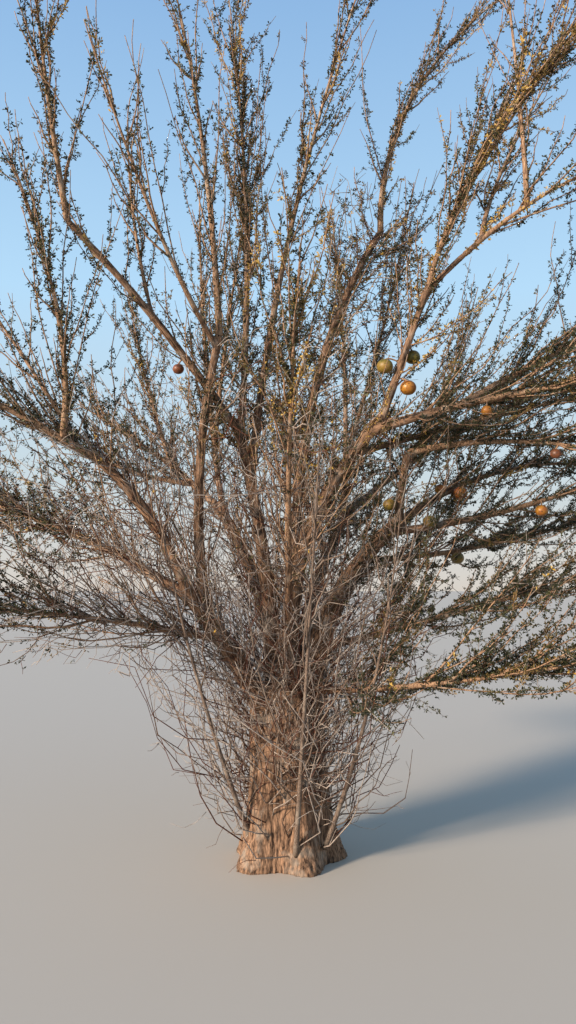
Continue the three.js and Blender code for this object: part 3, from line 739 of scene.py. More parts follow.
def stretch_of(limb, start, end):
    """A stretch of a limb as a parent of its own."""
    first, middle, last = points_on(limb.arc[None], np.array([[start, (start + end) / 2, end]]))[0]
    arc = np.array([first, 2 * middle - (first + last) / 2, last])
    return as_shoot(limb, arc, limb.length * (end - start), *limb.radii, limb.number, bend=0)


def in_low_middle(points):
    """How deep in the low middle of the crown a place is: over 1 is outside it."""
    return np.hypot((points[..., 0] - LOW_MIDDLE_X) / LOW_MIDDLE_WIDTH, points[..., 2] - LOW_MIDDLE_Z)


leafy_limbs = [limb for limb in limbs.values() if limb.bare < 1 and not limb.leafless]
stem_stretches = [stretch_of(limb, limb.bare, 1) for limb in leafy_limbs]
bough_stretches = [stretch_of(limb, 0.04, limb.bare) for limb in limbs.values() if limb.bare > 0]
high_boughs = [p for p in bough_stretches if p.arc[:, 2].mean() > HIGH]
low_boughs = [p for p in bough_stretches if p.arc[:, 2].mean() <= HIGH]
level_stems = [p for p in stem_stretches if p.limb.name in ("right_mid", "right_inner", "right_mid_spur")]

# %% Rods on the boughs, and lesser rods beside the main ones
INNER = changed(
    ROD, first_at=0.12, place_spread=0.9, crowding=0.9, last_at=0.98, least=0.35, shortening=0.1,
    upright_cut=0.3, shortest=0.1, angle_spread=40, turn_spread=1.6, upper_side=0.6, lift=0.35,
    lift_spread=0.5,
)
LESSER = changed(
    INNER, first_at=0.05, last_at=0.8, least=0.4, shortening=0.5, upright_cut=0, angle=12, angle_spread=24,
    turn_spread=1.4, upper_side=0.4, lift=0.15, lift_spread=0.3, level_lift=0.3,
)
WHIP = changed(
    LESSER, first_at=0.04, place_spread=0.8, last_at=0.85, least=0.45, shortening=0.45, shortest=0.2, angle=7,
    angle_spread=15, upper_side=0.6, lift=0.03, lift_spread=0.2, level_lift=0.4,
)
inner_rods = grow(low_boughs, INNER, 10, 1.3, 400000, 0.005, "rod", 0.9)
inner_rods += grow(high_boughs, INNER, 5, 1.1, 400000, 0.005, "rod", 0.9)
inner_rods += grow(level_stems, INNER, 2.8, 1.8, 450000, 0.005, "rod")
whips = grow(stem_stretches, WHIP, 5, 1.3, 600000, 0.0048, "rod")
grow(rods + inner_rods + whips, LESSER, 0.9, lambda p: 0.6 * p.length, 800000, 0.0034, "lesser")

# %% [markdown]
# ## The bare tangle
# Low in the middle of the tree little light is left, so the shoots there are thin, crooked, nearly leafless
# and point every way. A skirt of them stands round the trunk, and on the left they droop from the lowest
# boughs. They are the same rule again with wide angles and strong bends.

# %% Bare thin shoots in the low middle of the tree and round its trunk
WISP = changed(
    INNER, first_at=0.05, crowding=1, least=0.25, upright_cut=0, angle_spread=74, turn_spread=2,
    upper_side=0.2, lift=-0.25, lift_spread=0.9, level_lift=0.1,
)
SKIRT = changed(
    WISP, first_at=0.02, least=0.4, shortest=0.4, angle=26, angle_spread=44, upper_side=0, lift=0.1,
    lift_spread=1.1, level_lift=0,
)
TANGLE_WITHIN = 0.95
low_stems = [stretch_of(limb, limb.bare, 0.5 + 0.5 * limb.bare) for limb in leafy_limbs]
core_stretches = [p for p in bough_stretches + low_stems if in_low_middle(p.arc).min() < TANGLE_WITHIN]
wisps = grow(core_stretches, WISP, 18, 0.85, 2000000, 0.0042, "wisp", 0.7, 4.5)

# %% A skirt of them from nine lines that run up the trunk's bark
SKIRT_LINES, SKIRT_FOOT, SKIRT_TOP = 9, (0.22, 0.03), (0.08, 0.95)


def trunk_line_at(number):
    turn = GOLDEN_ANGLE * number
    way = np.array([math.cos(turn), math.sin(turn), 0])
    foot = SKIRT_FOOT[0] * way + [0, 0, SKIRT_FOOT[1]]
    top = SKIRT_TOP[0] * way + [TRUNK_LEAN, 0, SKIRT_TOP[1]]
    arc = np.array([foot, (foot + top) / 2, top])
    return as_shoot(limbs["front_sucker"], arc, 0.93, 0.01, 0.01, 900 + number, bend=0)


trunk_lines = [trunk_line_at(number) for number in range(SKIRT_LINES)]
wisps += grow(trunk_lines, SKIRT, 22, 1.4, 2500000, 0.0052, "wisp", 0, 4)

# %% [markdown]
# ## Side twigs and sprays
# The last order of growth is short twigs. Most are a hand long and stand on rods and limbs. On the lowest
# limbs, which get light from the side, they grow into longer leafy sprays. Those of the tangle take any
# direction, so that it looks like a thicket and not like a brush.

# %% Side twigs
SIDE = changed(
    LESSER, first_at=0.03, crowding=0.95, last_at=0.96, least=0.25, shortening=0.45, shortest=0.02, angle=24,
    angle_spread=34, upper_side=0.3, lift=0.1, lift_spread=0.35,
)
grow(stem_stretches, SIDE, 8, 0.14, 3000000, 0.0026, "side")
grow(rods + inner_rods + whips, SIDE, 2.2, 0.12, 4000000, 0.0022, "side")

# %% Drooping wisps at the left, and what grows on all wisps
DROOP = changed(WISP, upper_side=0.5, angle_spread=54, lift=-0.2, lift_spread=0.5)
TANGLE = changed(SIDE, angle=30, angle_spread=60, lift=-0.3, lift_spread=0.8)
left_parents = [p for p in core_stretches if p.limb.name in ("left", "left_mid", "low_left", "lowest_left")]
wisps += grow(left_parents, DROOP, 26, 1.0, 2700000, 0.0042, "wisp", 0.4, 3)
grow(wisps, TANGLE, 2.6, 0.32, 9000000, 0.0024, "wisp_side", 0.6, 5)

# %% Sprays on the low limbs
SPRAY = changed(SIDE, shortest=0.08, angle_spread=55, lift=-0.1, lift_spread=0.6)
LOW_LEFT, LOW_RIGHT, SPRAYS_FROM = 2.6, 1.75, 0.8


def takes_sprays(parent):
    """Whether a parent is low enough to get light from the side, and outside the bare tangle."""
    low = parent.arc[:, 2].mean() < (LOW_LEFT if parent.arc[0, 0] < 0 else LOW_RIGHT)
    return low and in_low_middle(parent.arc).min() > SPRAYS_FROM


low_parents = [p for p in stem_stretches + rods + inner_rods + whips if takes_sprays(p)]
grow(low_parents, SPRAY, 3.2, 0.34, 6000000, 0.0024, "spray")

# %% Twigs that stray are left out, with all that grows on them
CROOKED_SPARE, GOURD_ROOM = 0.08, 0.012
LOWEST_OUTER, OUTER_FROM = 1.05, 0.9
pack = pack_twigs(twigs)
lines = crooked_points(pack, np.arange(len(twigs)), np.linspace(0, 1, 9)[None].repeat(len(twigs), 0))
hanging = (lines[..., 2] < LOWEST_OUTER) & (np.hypot(lines[..., 0], lines[..., 1]) > OUTER_FROM)
wispy = np.array([t.kind.startswith("wisp") for t in twigs])
good = in_box(lines, CROOKED_SPARE) & clear_of_gourds(lines, GOURD_ROOM).all(1) & ~(hanging.any(1) & wispy)
for twig, clear in zip(twigs, good):
    twig.clear = clear and getattr(twig.parent, "clear", True)
print(len(twigs), "twigs in all,", sum(not t.clear for t in twigs), "of them left out")

# %% [markdown]
# ## Parts of the crown
# Fourteen thousand twigs can't be objects of their own. They are joined into a few meshes, each kind apart,
# by the part of the crown that they stand in.

# %% Parts of the crown, by limb
CROWN_PARTS = {
    "left_low": ("left_mid", "left_outer", "left_riser", "left_edge", "low_left", "lowest_left", "left"),
    "left_high": (
        "left_upright", "left_top", "left_inner", "upper_left", "upper_left_top", "upper_left_riser",
    ),
    "middle": (
        "centre", "centre_top", "centre_right_top", "right_centre", "inner_right", "inner_right_top", "front",
        "left_sucker", "front_sucker", "right_sucker",
    ),
    "right_high": (
        "right_upright", "right_top", "right_riser", "right_high", "right_high_riser", "right_spur",
    ),
    "right_mid": ("right_mid", "right_mid_spur", "right_inner", "right_elbow", "right_level", "low_front"),
    "right_low": ("right", "right_low", "right_lower", "right_under", "low_right"),
    "back": (
        "back_left", "back_right", "back_left_low", "back_left_top", "back_right_low", "back_right_top",
        "back_middle", "back_left_riser", "back_left_side", "back_right_riser", "back_left_inner",
        "back_right_inner",
    ),
}
part_of = {name: part for part, names in CROWN_PARTS.items() for name in names}


def nodes_of(part):
    """The masses that stand in a part of the crown."""
    masses = {limbs[name].mass for name in CROWN_PARTS[part] if limbs[name].bare < 1}
    return sorted(mass + ("_shoots" if mass.endswith("sucker") else "_foliage") for mass in masses)


# %% Tubes for many twigs
TAPER = 0.8


def width_at(pack, which, t):
    return pack.thick[which, None] + (pack.thin - pack.thick)[which, None] * t**TAPER


def rings_round(a, b, sides):
    """The ways from a middle line to the corners of a ring round it, for two directions across it."""
    angle = np.arange(sides) / sides * 2 * np.pi
    return a[..., None, :] * np.cos(angle)[:, None] + b[..., None, :] * np.sin(angle)[:, None]


def twig_tubes(pack, which, sides, rings):
    """Corners and faces of closed tapering tubes along the chosen twigs."""
    n = len(which)
    t = np.linspace(0, 1, rings + 1)[None].repeat(n, 0)
    spots = crooked_points(pack, which, t)
    heading = headings_on(pack.arcs[which], t)
    a, b = across(heading, guides_of(pack.arcs[which])[:, None])
    wide = width_at(pack, which, t)[..., None, None]
    corners = (spots[:, :, None] + rings_round(a, b, sides) * wide).reshape(-1, 3)
    base = (np.arange(n) * (rings + 1) * sides)[:, None, None]
    r, s = np.arange(rings)[:, None] * sides, np.arange(sides)
    after = (s + 1) % sides
    quads = np.stack([r + s, r + after, r + sides + after, r + sides + s], -1).reshape(1, -1, 4) + base
    caps = np.stack([s[::-1], rings * sides + s])[None] + base
    return corners, quads.reshape(-1, 4), caps.reshape(-1, sides)


# %% A mesh from arrays
def mesh_from(name, groups, materials, tones=None, smooth=False):
    """One mesh object from groups of (corners, faces, faces, ...), with the material number of each face."""
    corners, loops, starts, done = [], [], [], 0
    first = 0
    for group in groups:
        corners.append(group[0])
        for faces in group[1:]:
            loops.append((faces + first).ravel())
            starts.append(done + np.arange(len(faces)) * faces.shape[1])
            done += faces.size
        first += len(group[0])
    corners, loops, starts = np.concatenate(corners), np.concatenate(loops), np.concatenate(starts)
    mesh = bpy.data.meshes.new(name)
    mesh.vertices.add(len(corners))
    mesh.vertices.foreach_set("co", corners.astype(np.float32).ravel())
    mesh.loops.add(len(loops))
    mesh.loops.foreach_set("vertex_index", loops.astype(np.int32))
    mesh.polygons.add(len(starts))
    mesh.polygons.foreach_set("loop_start", starts.astype(np.int32))
    mesh.update(calc_edges=True)
    mesh.validate()
    for material in materials:
        mesh.materials.append(material)
    if tones:
        mesh.polygons.foreach_set("material_index", np.concatenate(tones).astype(np.int32))
    if smooth:
        mesh.polygons.foreach_set("use_smooth", np.ones(len(mesh.polygons), bool))
    piece = bpy.data.objects.new(name, mesh)
    bpy.context.collection.objects.link(piece)
    return piece


def triangles_in(piece):
    return sum(len(face.vertices) - 2 for face in piece.data.polygons)


# %% [markdown]
# ## Bark
# Bark changes with age: the trunk is furrowed and grey brown, rods are smoother and paler, and the thinnest
# twigs are nearly grey. One node group paints all of them, each material with its own colours and fineness.
# Furrows are noise stretched along the limb, cracks are the edges between cells, and lichen comes in soft
# blotches.

# %% Colours
def colour(*values):
    """A shader colour from the three values that a paint program shows."""
    return tuple(((v / 255 + 0.055) / 1.055) ** 2.4 if v > 10 else v / 255 / 12.92 for v in values) + (1,)


# %% Helpers for shader nodes
def new_group(name, inputs, outputs):
    group = bpy.data.node_groups.new(name, "ShaderNodeTree")
    for title, kind, value in inputs:
        made = group.interface.new_socket(title, in_out="INPUT", socket_type=kind)
        if value is not None:
            made.default_value = value
    for title, kind in outputs:
        group.interface.new_socket(title, in_out="OUTPUT", socket_type=kind)
    return group, group.nodes.new("NodeGroupInput"), group.nodes.new("NodeGroupOutput")


def wire(tree, node, inputs):
    """Gives a node its inputs, by name or number: a socket is linked, a plain value is set."""
    for key, value in inputs.items():
        if isinstance(value, bpy.types.NodeSocket):
            tree.links.new(value, node.inputs[key])
        else:
            node.inputs[key].default_value = value
    return node


def add_node(tree, kind, settings=None, **inputs):
    node = tree.nodes.new("ShaderNode" + kind)
    for key, value in (settings or {}).items():
        setattr(node, key, value)
    return wire(tree, node, inputs)


def ramp(tree, factor, stops):
    node = add_node(tree, "ValToRGB", Fac=factor)
    while len(node.color_ramp.elements) < len(stops):
        node.color_ramp.elements.new(0.5)
    for element, (place, shade) in zip(node.color_ramp.elements, stops):
        element.position = place
        element.color = shade if not isinstance(shade, (int, float)) else (shade, shade, shade, 1)
    return node.outputs["Color"]


def blend(tree, factor, first, second, kind="MIX"):
    node = add_node(tree, "Mix", {"data_type": "RGBA", "blend_type": kind})
    return wire(tree, node, {"Factor": factor, 6: first, 7: second}).outputs[2]


def new_material(name):
    """A material, its node tree and its shader."""
    material = bpy.data.materials.new(name)
    material.use_nodes = True
    return material, material.node_tree, material.node_tree.nodes["Principled BSDF"]


def object_place(tree):
    return add_node(tree, "TexCoord").outputs["Object"]


# %% The bark's shader group
def make_bark_group():
    group, given, put = new_group(
        "furrowed bark",
        [
            ("Place", "NodeSocketVector", None), ("Furrow", "NodeSocketColor", None),
            ("Ridge", "NodeSocketColor", None), ("Lichen", "NodeSocketColor", None),
            ("Fineness", "NodeSocketFloat", 1.0),
        ],
        [("Colour", "NodeSocketColor"), ("Roughness", "NodeSocketFloat"), ("Height", "NodeSocketFloat")],
    )
    place, furrow, ridge, lichen, fineness = (given.outputs[k] for k in range(5))
    along = wire(group, add_node(group, "VectorMath", {"operation": "MULTIPLY"}), {0: place, 1: (1, 1, 0.14)})
    finer = add_node(group, "VectorMath", {"operation": "SCALE"}, Scale=fineness)
    fine = wire(group, finer, {0: along.outputs[0]}).outputs[0]
    furrows = add_node(group, "TexNoise", Vector=fine, Scale=85.0, Detail=7.0, Roughness=0.66).outputs["Fac"]
    cracks = add_node(group, "TexVoronoi", {"feature": "DISTANCE_TO_EDGE"}, Vector=fine, Scale=60.0)
    blotches = add_node(group, "TexNoise", Vector=place, Scale=9.0, Detail=3.0).outputs["Fac"]
    crack = ramp(group, cracks.outputs["Distance"], [(0.0, 0.55), (0.12, 1.0)])
    furrowed = blend(group, ramp(group, furrows, [(0.36, 0.0), (0.62, 1.0)]), furrow, ridge)
    cracked = blend(group, 1.0, furrowed, crack, "MULTIPLY")
    height = wire(group, add_node(group, "Math", {"operation": "MULTIPLY"}), {0: furrows, 1: crack})
    wire(group, put, {
        "Colour": blend(group, ramp(group, blotches, [(0.55, 0.0), (0.72, 0.7)]), cracked, lichen),
        "Roughness": ramp(group, furrows, [(0.3, 0.95), (0.8, 0.74)]),
        "Height": height.outputs[0],
    })
    return group


BARK_GROUP = make_bark_group()


def bark_material(name, furrow, ridge, lichen, fineness, depth, attribute=None):
    material, tree, shader = new_material(name)
    if attribute:
        place = add_node(tree, "Attribute", {"attribute_name": attribute}).outputs["Vector"]
    else:
        place = object_place(tree)
    bark = add_node(
        tree, "Group", {"node_tree": BARK_GROUP}, Place=place, Furrow=colour(*furrow), Ridge=colour(*ridge),
        Lichen=colour(*lichen), Fineness=fineness,
    )
    bump = add_node(tree, "Bump", Height=bark.outputs["Height"], Strength=0.7, Distance=depth)
    wire(tree, shader, {
        "Base Color": bark.outputs["Colour"], "Roughness": bark.outputs["Roughness"],
        "Normal": bump.outputs["Normal"], "Specular IOR Level": 0.25,
    })
    return material


# %% Six barks: colour of furrow, ridge and lichen, fineness, depth in metres
OLD_BARK = bark_material("old bark", (42, 29, 22), (164, 128, 100), (154, 142, 128), 1.0, 0.006, "grain")
ROD_BARKS = [
    bark_material("rod bark", (84, 60, 46), (182, 146, 114), (172, 154, 134), 2.2, 0.002),
    bark_material("sucker bark", (72, 58, 50), (138, 118, 102), (146, 134, 120), 2.6, 0.0015),
]
TWIG_BARKS = [
    bark_material("grey twig", (126, 110, 98), (198, 182, 168), (182, 172, 160), 3.0, 0.001),
    bark_material("brown twig", (72, 56, 46), (130, 104, 86), (128, 110, 96), 3.0, 0.001),
    bark_material("red brown twig", (62, 36, 28), (118, 74, 56), (106, 78, 64), 3.0, 0.001),
]

# %% [markdown]
# ## Tones of leaf
# A leaf of this tree is leathery and dark above, duller and paler beneath, and dries to brown and yellow.
# The brown and yellow tones also stand for leaves in low sun, so they are partly painted sunlight.
# Each tone is one material, with patches of a second shade. The shader asks which side it sees, so that a
# leaf needs no second layer of mesh for its lower side.

# %% Leaf materials
def leaf_material(name, upper, lower, tint):
    material, tree, shader = new_material(name)
    patches = add_node(tree, "TexNoise", Vector=object_place(tree), Scale=14.0, Detail=3.0).outputs["Fac"]
    body = blend(tree, ramp(tree, patches, [(0.4, 0.0), (0.65, 1.0)]), colour(*upper), colour(*tint))
    side = add_node(tree, "NewGeometry").outputs["Backfacing"]
    wire(tree, shader, {
        "Base Color": blend(tree, side, body, colour(*lower)), "Roughness": 0.55, "Specular IOR Level": 0.35,
    })
    return material


# the brown olive and yellowing tones are partly the leaves' own drying and partly painted sunlight
LEAF_MATERIALS = [
    leaf_material("dark leaf", (33, 37, 18), (52, 54, 32), (46, 44, 22)),
    leaf_material("olive leaf", (56, 56, 26), (76, 74, 42), (70, 62, 32)),
    leaf_material("brown olive leaf", (96, 76, 34), (106, 88, 48), (106, 80, 38)),
    leaf_material("yellowing and sunlit leaf", (176, 140, 58), (168, 140, 74), (150, 118, 52)),
]

# %% [markdown]
# ## Leaves in tufts
# On this tree the leaves stand in small tufts on very short spurs. A leaf is narrow at its foot and widest
# near its tip, like a paddle. Here it is four corners folded along the midrib, which is enough at this
# size. All of them are worked out together as arrays, because a loop over a quarter of a million leaves
# would be slow.

# %% Where the tufts stand
BARE_WITHIN, FULL_OVER_DEPTH, FEWEST_TUFTS = 0.7, 0.45, 0.06
TUFT_ROOM, SUNNY_ROOM = 0.035, 0.015


def tufts_on(pack, start, ends, per_metre, leafy, seed):
    """Twig number and share of each tuft, thinned in the bare low middle of the crown."""
    rng = np.random.default_rng(seed)
    counts = np.floor(pack.lengths * (ends - start) * per_metre + rng.random(len(pack.lengths))).astype(int)
    which = np.repeat(np.arange(len(counts)), counts)
    order = np.arange(len(which)) - np.repeat(np.cumsum(counts) - counts, counts)
    share = start + (ends - start)[which] * (order + rng.random(len(which))) / counts[which]
    spots = points_on(pack.arcs[which], share[:, None])[:, 0]
    full = np.clip((in_low_middle(spots) - BARE_WITHIN) / FULL_OVER_DEPTH, FEWEST_TUFTS, 1)
    kept = rng.random(len(which)) < full * leafy[which] * (0.5 + 0.9 * pack.luck[which, 4])
    kept &= clear_of_gourds(spots, TUFT_ROOM) & clear_of_gourds(spots, SUNNY_ROOM, LIT_WAY)
    return which[kept], share[kept]


# %% Spurs
SPUR_RADIUS, SPUR_LEAN, SPUR_SPREAD = 0.0016, (0.1, 0.9), (0.15, 1)


def spurs_on(pack, which, share, seed, longest):
    """Corners and faces of a short spike for each tuft, its foot, its tip and the way it points."""
    rng = np.random.default_rng(seed)
    foot = crooked_points(pack, which, share[:, None])[:, 0]
    heading = headings_on(pack.arcs[which], share[:, None])[:, 0]
    a, b = across(heading, guides_of(pack.arcs[which]))
    turn = rng.random((len(which), 1)) * 2 * np.pi
    out = a * np.cos(turn) + b * np.sin(turn)
    way = unit(out + heading * rng.uniform(*SPUR_LEAN, (len(which), 1)))
    wide = width_at(pack, which, share[:, None])
    tip = foot + way * (wide + rng.uniform(*SPUR_SPREAD, len(which))[:, None] * longest)
    ring = rings_round(*across(way, out + heading[:, [1, 2, 0]]), 3)
    corners = np.concatenate([foot[:, None] + ring * SPUR_RADIUS, tip[:, None]], 1).reshape(-1, 3)
    first = (np.arange(len(which)) * 4)[:, None, None]
    faces = (first + np.array([[0, 1, 3], [1, 2, 3], [2, 0, 3], [2, 1, 0]])).reshape(-1, 3)
    return (corners, faces), foot, tip, way


# %% Leaves
LEAF_LENGTH, LEAF_WIDTH = (0.014, 0.026), (0.0065, 0.0105)
# the corners of a leaf: share of its length, of half its width to the side, and of half its width up
LEAF_OUTLINE = ((0, 0, 0), (0.72, 1, 0.5), (1, 0, 0), (0.72, -1, 0.5))
LEAVES_A_TUFT, TURN_SPREAD, LEAF_LEAN, LEAF_RISE, ALONG_SPUR = 4, 0.16, (10, 95), 0.2, 0.6


def leaves_on(foot, tip, way, seed):
    """Corners and faces of a tuft of leaves along each spur."""
    rng = np.random.default_rng(seed)
    n, shape = len(tip), (len(tip), LEAVES_A_TUFT)
    base = tip[:, None] + (foot - tip)[:, None] * rng.uniform(0, ALONG_SPUR, shape + (1,))
    a, b = across(way, way[:, [1, 2, 0]])
    turn = rng.random((n, 1)) + np.arange(LEAVES_A_TUFT) / LEAVES_A_TUFT
    turn = (turn + TURN_SPREAD * rng.random(shape)) * 2 * np.pi
    lean = np.radians(rng.uniform(*LEAF_LEAN, shape))
    out = a[:, None] * np.cos(turn)[..., None] + b[:, None] * np.sin(turn)[..., None]
    leaf = unit(way[:, None] * np.cos(lean)[..., None] + out * np.sin(lean)[..., None] + [0, 0, LEAF_RISE])
    side = unit(np.cross(leaf, rng.normal(size=shape + (3,))))
    face = np.cross(side, leaf)
    long = rng.uniform(*LEAF_LENGTH, shape)[..., None]
    wide = rng.uniform(*LEAF_WIDTH, shape)[..., None] / 2
    corners = [base + leaf * long * s + side * wide * w + face * wide * up for s, w, up in LEAF_OUTLINE]
    corners = np.stack(corners, 2).reshape(-1, 3)
    first = (np.arange(n * LEAVES_A_TUFT) * 4)[:, None]
    return corners, first + [0, 2, 1], first + [0, 3, 2]


# %% [markdown]
# ## Dressing the crown
# Each part of the crown gets three pieces: rods, thin twigs with their spurs, and leaves. Tones are dealt
# out by spray and not by leaf, because the leaves of one shoot are of one age. Each part has its own mix of
# tones, with more brown and yellow high up as painted sunlight and more dark low down as painted shade.

# %% The stems of the masses, as twigs that go on from the boughs' ends
STEM_TIP, STEM_SEED, SUCKER_STEM_SHARE = 0.003, 90000, 0.6


def stems_of(part):
    stems = []
    for limb in (limbs[name] for name in CROWN_PARTS[part]):
        if limb.bare < 1:
            stem = stretch_of(limb, max(0.0, limb.bare - 0.03 / limb.length), 1)
            stem.thick = radius_at(limb, limb.bare) * (SUCKER_STEM_SHARE if limb.leafless else 1)
            stem.thin, stem.leafy, stem.seed = STEM_TIP, leafiness(limb), limb.number + STEM_SEED
            stems.append(stem)
    return stems


# %% What each kind of twig carries, and how its tones are dealt out
# kind: sides and rings of its tube, tufts a metre, leafless share at its foot and at its tip, longest spur
KINDS = {
    "stem": (9, 40, 100, 0.02, 0.1, 0.02),
    "rod": (4, 8, 80, 0.03, 0.16, 0.02),
    "lesser": (3, 5, 75, 0.03, 0.12, 0),
    "side": (3, 2, 60, 0.2, 0.0, 0),
    "spray": (3, 3, 60, 0.05, 0.0, 0),
    "wisp": (3, 6, 30, 0.3, 0.1, 0),
    "wisp_side": (3, 3, 30, 0.2, 0.0, 0),
}
TIP_SPREAD = 0.14
HEAPS = {"rods": ROD_BARKS, "twigs": TWIG_BARKS, "leaves": LEAF_MATERIALS}
# where a draw from 0 to 1 goes over to the next tone
TWIG_TONE_SHARES = (0.55, 0.8)
# each part's mix is partly painted light: more brown olive and yellowing leaves high in the crown as painted
# sunlight, and more dark leaves low in it as painted shade
AGE_AND_LIGHT_TONE_SHARES = {
    "left_low": (0.55, 0.85, 0.97),
    "left_high": (0.4, 0.72, 0.96),
    "middle": (0.34, 0.62, 0.88),
    "right_high": (0.34, 0.64, 0.9),
    "right_mid": (0.6, 0.88, 0.98),
    "right_low": (0.66, 0.92, 0.99),
    "back": (0.5, 0.8, 0.95),
}


# %% Rods, thin twigs and leaves, part by part
def dress(part, number):
    """Rods, thin twigs and leaves of one part of the crown, as three pieces."""
    chosen = [t for t in twigs if part_of[t.limb.name] == part and t.clear]
    groups, tones = {heap: [] for heap in HEAPS}, {heap: [] for heap in HEAPS}
    rng = np.random.default_rng(number)
    for order, (kind, values) in enumerate(KINDS.items()):
        sides, rings, per_metre, bare_foot, bare_tip, spur = values
        members = stems_of(part) if kind == "stem" else [t for t in chosen if t.kind == kind]
        if not members:
            continue
        pack = pack_twigs(members)
        heap = "rods" if kind in ("stem", "rod", "lesser") else "twigs"
        groups[heap].append(twig_tubes(pack, np.arange(len(members)), sides, rings))
        leafy = np.array([t.leafy for t in members])
        if heap == "rods":
            tone = (leafy == 0).astype(int)
        else:
            tone = np.searchsorted(TWIG_TONE_SHARES, pack.luck[:, 3])
        tones[heap] += [np.repeat(tone, sides * rings), np.repeat(tone, 2)]
        seed, ends = number * 100 + order, 1 - bare_tip - TIP_SPREAD * pack.luck[:, 0]
        which, share = tufts_on(pack, bare_foot, ends, per_metre, leafy, seed)
        spurs, foot, tip, way = spurs_on(pack, which, share, seed + 50, spur)
        if spur:
            groups["twigs"].append(spurs)
            tones["twigs"].append(np.ones(len(spurs[1]), int))
        groups["leaves"].append(leaves_on(foot, tip, way, seed + 60))
        spray_tone = np.searchsorted(AGE_AND_LIGHT_TONE_SHARES[part], rng.random(len(members)))
        tones["leaves"].append(np.tile(np.repeat(spray_tone[which], LEAVES_A_TUFT), 2))
    total = 0
    for heap, materials in HEAPS.items():
        piece = mesh_from(f"{part}_{heap}", groups[heap], materials, tones[heap], smooth=heap != "leaves")
        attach(piece, "root")
        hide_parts(*nodes_of(part))
        print(piece.name, triangles_in(piece), "triangles")
        total += triangles_in(piece)
    return total


total = sum(dress(part, number + 1) for number, part in enumerate(CROWN_PARTS))
print("crown:", total, "triangles")

# %% [markdown]
# ## Gourds
# The fruit is a hard ball the size of an orange, slightly flattened, with a dimple where its woody stalk
# enters. One is modelled from a sphere and copied, because all share the form. Each copy gets its own size,
# turn and place.

# %% Gourd materials
def gourd_material(name, skin, flush, speck):
    material, tree, shader = new_material(name)
    place, speck = object_place(tree), colour(*speck)
    broad = add_node(tree, "TexNoise", Vector=place, Scale=22.0, Detail=4.0).outputs["Fac"]
    spots = add_node(tree, "TexNoise", Vector=place, Scale=150.0, Detail=2.0).outputs["Fac"]
    scars = add_node(tree, "TexVoronoi", Vector=place, Scale=52.0).outputs["Distance"]
    body = blend(tree, ramp(tree, broad, [(0.38, 0.0), (0.62, 1.0)]), colour(*skin), colour(*flush))
    body = blend(tree, ramp(tree, spots, [(0.56, 0.0), (0.7, 0.55)]), body, speck)
    body = blend(tree, ramp(tree, scars, [(0.12, 0.9), (0.3, 0.0)]), body, speck)
    bump = add_node(tree, "Bump", Height=spots, Strength=0.25, Distance=0.001)
    rough = ramp(tree, broad, [(0.3, 0.38), (0.8, 0.6)])
    wire(tree, shader, {"Base Color": body, "Roughness": rough, "Normal": bump.outputs["Normal"]})
    return material


GOURD_MATERIALS = [
    gourd_material("green gourd", (104, 96, 36), (136, 106, 42), (52, 44, 26)),
    gourd_material("ripe gourd", (172, 118, 40), (146, 84, 34), (62, 36, 20)),
    gourd_material("old gourd", (130, 72, 38), (88, 54, 34), (46, 30, 22)),
]

# %% One gourd
FLATTENED = 0.9
# depth or height, and width, as shares of the gourd
DIMPLE, NUB = (0.07, 0.28), (0.03, 0.1)


def model_gourd():
    """A gourd one metre across, stalk end up."""
    bpy.ops.mesh.primitive_uv_sphere_add(segments=28, ring_count=18, radius=0.5)
    gourd = bpy.context.object
    bpy.ops.object.mode_set(mode="EDIT")
    bpy.ops.mesh.select_all(action="SELECT")
    bpy.ops.transform.resize(value=(1, 1, FLATTENED))
    bpy.ops.object.mode_set(mode="OBJECT")
    for corner in gourd.data.vertices:
        side = math.hypot(corner.co.x, corner.co.y) * 2
        dimple, nub = (deep * math.exp(-((side / wide) ** 2)) for deep, wide in (DIMPLE, NUB))
        corner.co.z -= dimple if corner.co.z > 0 else -dimple * 0.4 + nub
    return gourd


gourd_model = model_gourd()

# %% Its copies, each with a stalk
STALK_RADIUS, STALK_SWELL, STALK_END = 0.0045, 1.2, 0.4
GOURD_SHARE = 1.02


def copy_gourd(number, size, tone, centre):
    one = gourd_model.copy()
    one.data = gourd_model.data.copy()
    bpy.context.collection.objects.link(one)
    cos, sin = math.cos(GOLDEN_ANGLE * number), math.sin(GOLDEN_ANGLE * number)
    corners = vectors_of(one.data) * (size * MM * GOURD_SHARE)
    corners[:, :2] = corners[:, :2] @ np.array([[cos, sin], [-sin, cos]])
    one.data.vertices.foreach_set("co", (corners + centre).ravel())
    one.data.materials.append(GOURD_MATERIALS[tone])
    one.data.polygons.foreach_set("use_smooth", np.ones(len(one.data.polygons), bool))
    return one


def add_stalk(number, limb, size, spot, centre):
    """A short thick stalk that bows up from the limb and down into the gourd's crown."""
    crown = centre + [0, 0, STALK_END * size * MM]
    bend = spot * 0.4 + crown * 0.6 + [0, 0, STALK_HIGHER]
    thick, thin = STALK_RADIUS, STALK_RADIUS * STALK_SWELL
    stalk = as_shoot(limb, np.array([spot, bend, crown]), 0.1, thick, thin, number)
    tube = twig_tubes(pack_twigs([stalk]), np.array([0]), sides=8, rings=10)
    return mesh_from("stalk", [tube], ROD_BARKS[:1], smooth=True)


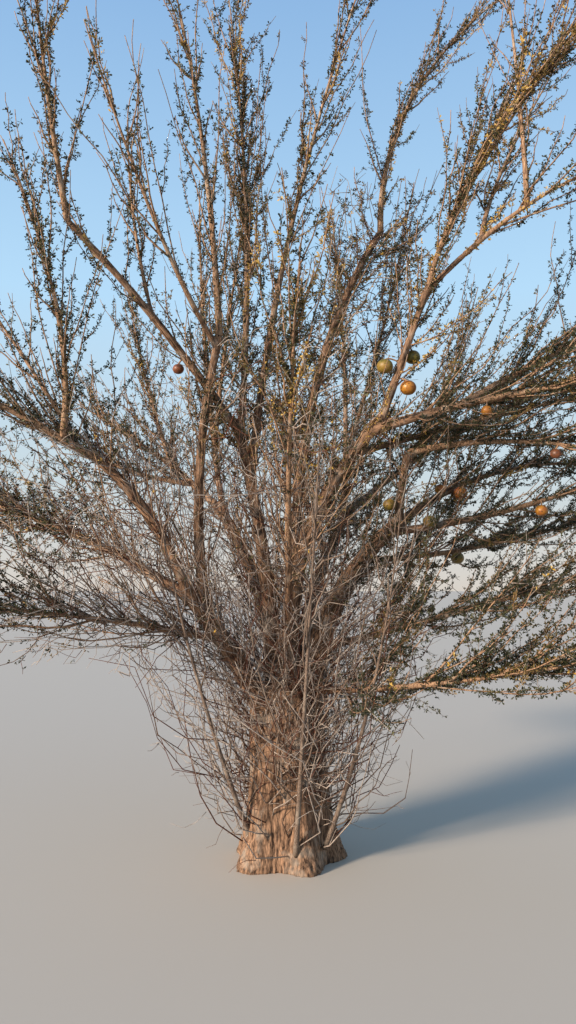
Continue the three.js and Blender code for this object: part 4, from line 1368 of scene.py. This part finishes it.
gourd_pieces = []
for number, ((name, _, _, size, tone), (spots, centre)) in enumerate(zip(GOURDS, gourd_places)):
    gourd_pieces.append(copy_gourd(number, size, tone, centre))
    gourd_pieces.append(add_stalk(number, limbs[name], size, spots[1], centre))
bpy.data.objects.remove(gourd_model)
gourds = join(gourd_pieces, "gourds")
print("gourds:", triangles_in(gourds), "triangles")

# %% [markdown]
# ## Fitting to the solids
# The skin of trunk and boughs takes the place of all those solids at once. It rides on the same body, so it
# goes wherever they go.

# %% The trunk and boughs ride on the frame
wood.data.materials.clear()
wood.data.materials.append(OLD_BARK)
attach(wood, "root")
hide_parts("trunk", *(name + "_bough" for name, limb in limbs.items() if limb.bare > 0))
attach(gourds, "root")

# %% [markdown]
# ## Ground and light
# The tree is shown on plain pale ground. A low warm light from the left picks out the limbs as an evening
# sun does. The sky goes from pale at the horizon to blue, and fills the shade. It is a ramp over height and
# no picture.

# %% Floor
bpy.ops.mesh.primitive_plane_add(size=2000)
floor = bpy.context.object
floor.name = "floor"
floor_material, floor_tree, floor_shader = new_material("pale ground")
wire(floor_tree, floor_shader, {"Base Color": colour(190, 180, 166), "Roughness": 0.95})
floor.data.materials.append(floor_material)

# %% Sky and sun
SKY = [
    (0, colour(226, 218, 208)), (0.14, colour(212, 228, 235)), (0.36, colour(190, 230, 260)),
    (0.63, colour(150, 193, 238)), (1, colour(84, 120, 176)),
]
world = bpy.data.worlds.new("pale sky")
bpy.context.scene.world = world
world.use_nodes = True
sky = world.node_tree
height = add_node(sky, "SeparateXYZ", Vector=add_node(sky, "TexCoord").outputs["Generated"]).outputs["Z"]
wire(sky, sky.nodes["Background"], {"Color": ramp(sky, height, SKY), "Strength": 0.92})
bpy.context.scene.view_settings.view_transform = "Standard"

bpy.ops.object.light_add(type="SUN", location=SUN_AT)
sun = bpy.context.object
sun.data.energy = 7.2
sun.data.angle = math.radians(8)
sun.data.color = (1, 0.85, 0.7)
sun.rotation_euler = (SUN_AIM - SUN_AT).to_track_quat("-Z", "Y").to_euler()

# %% [markdown]
# ## The box of the solids
# The finished tree should stay within the box of its solids, but for the thin tips of twigs.
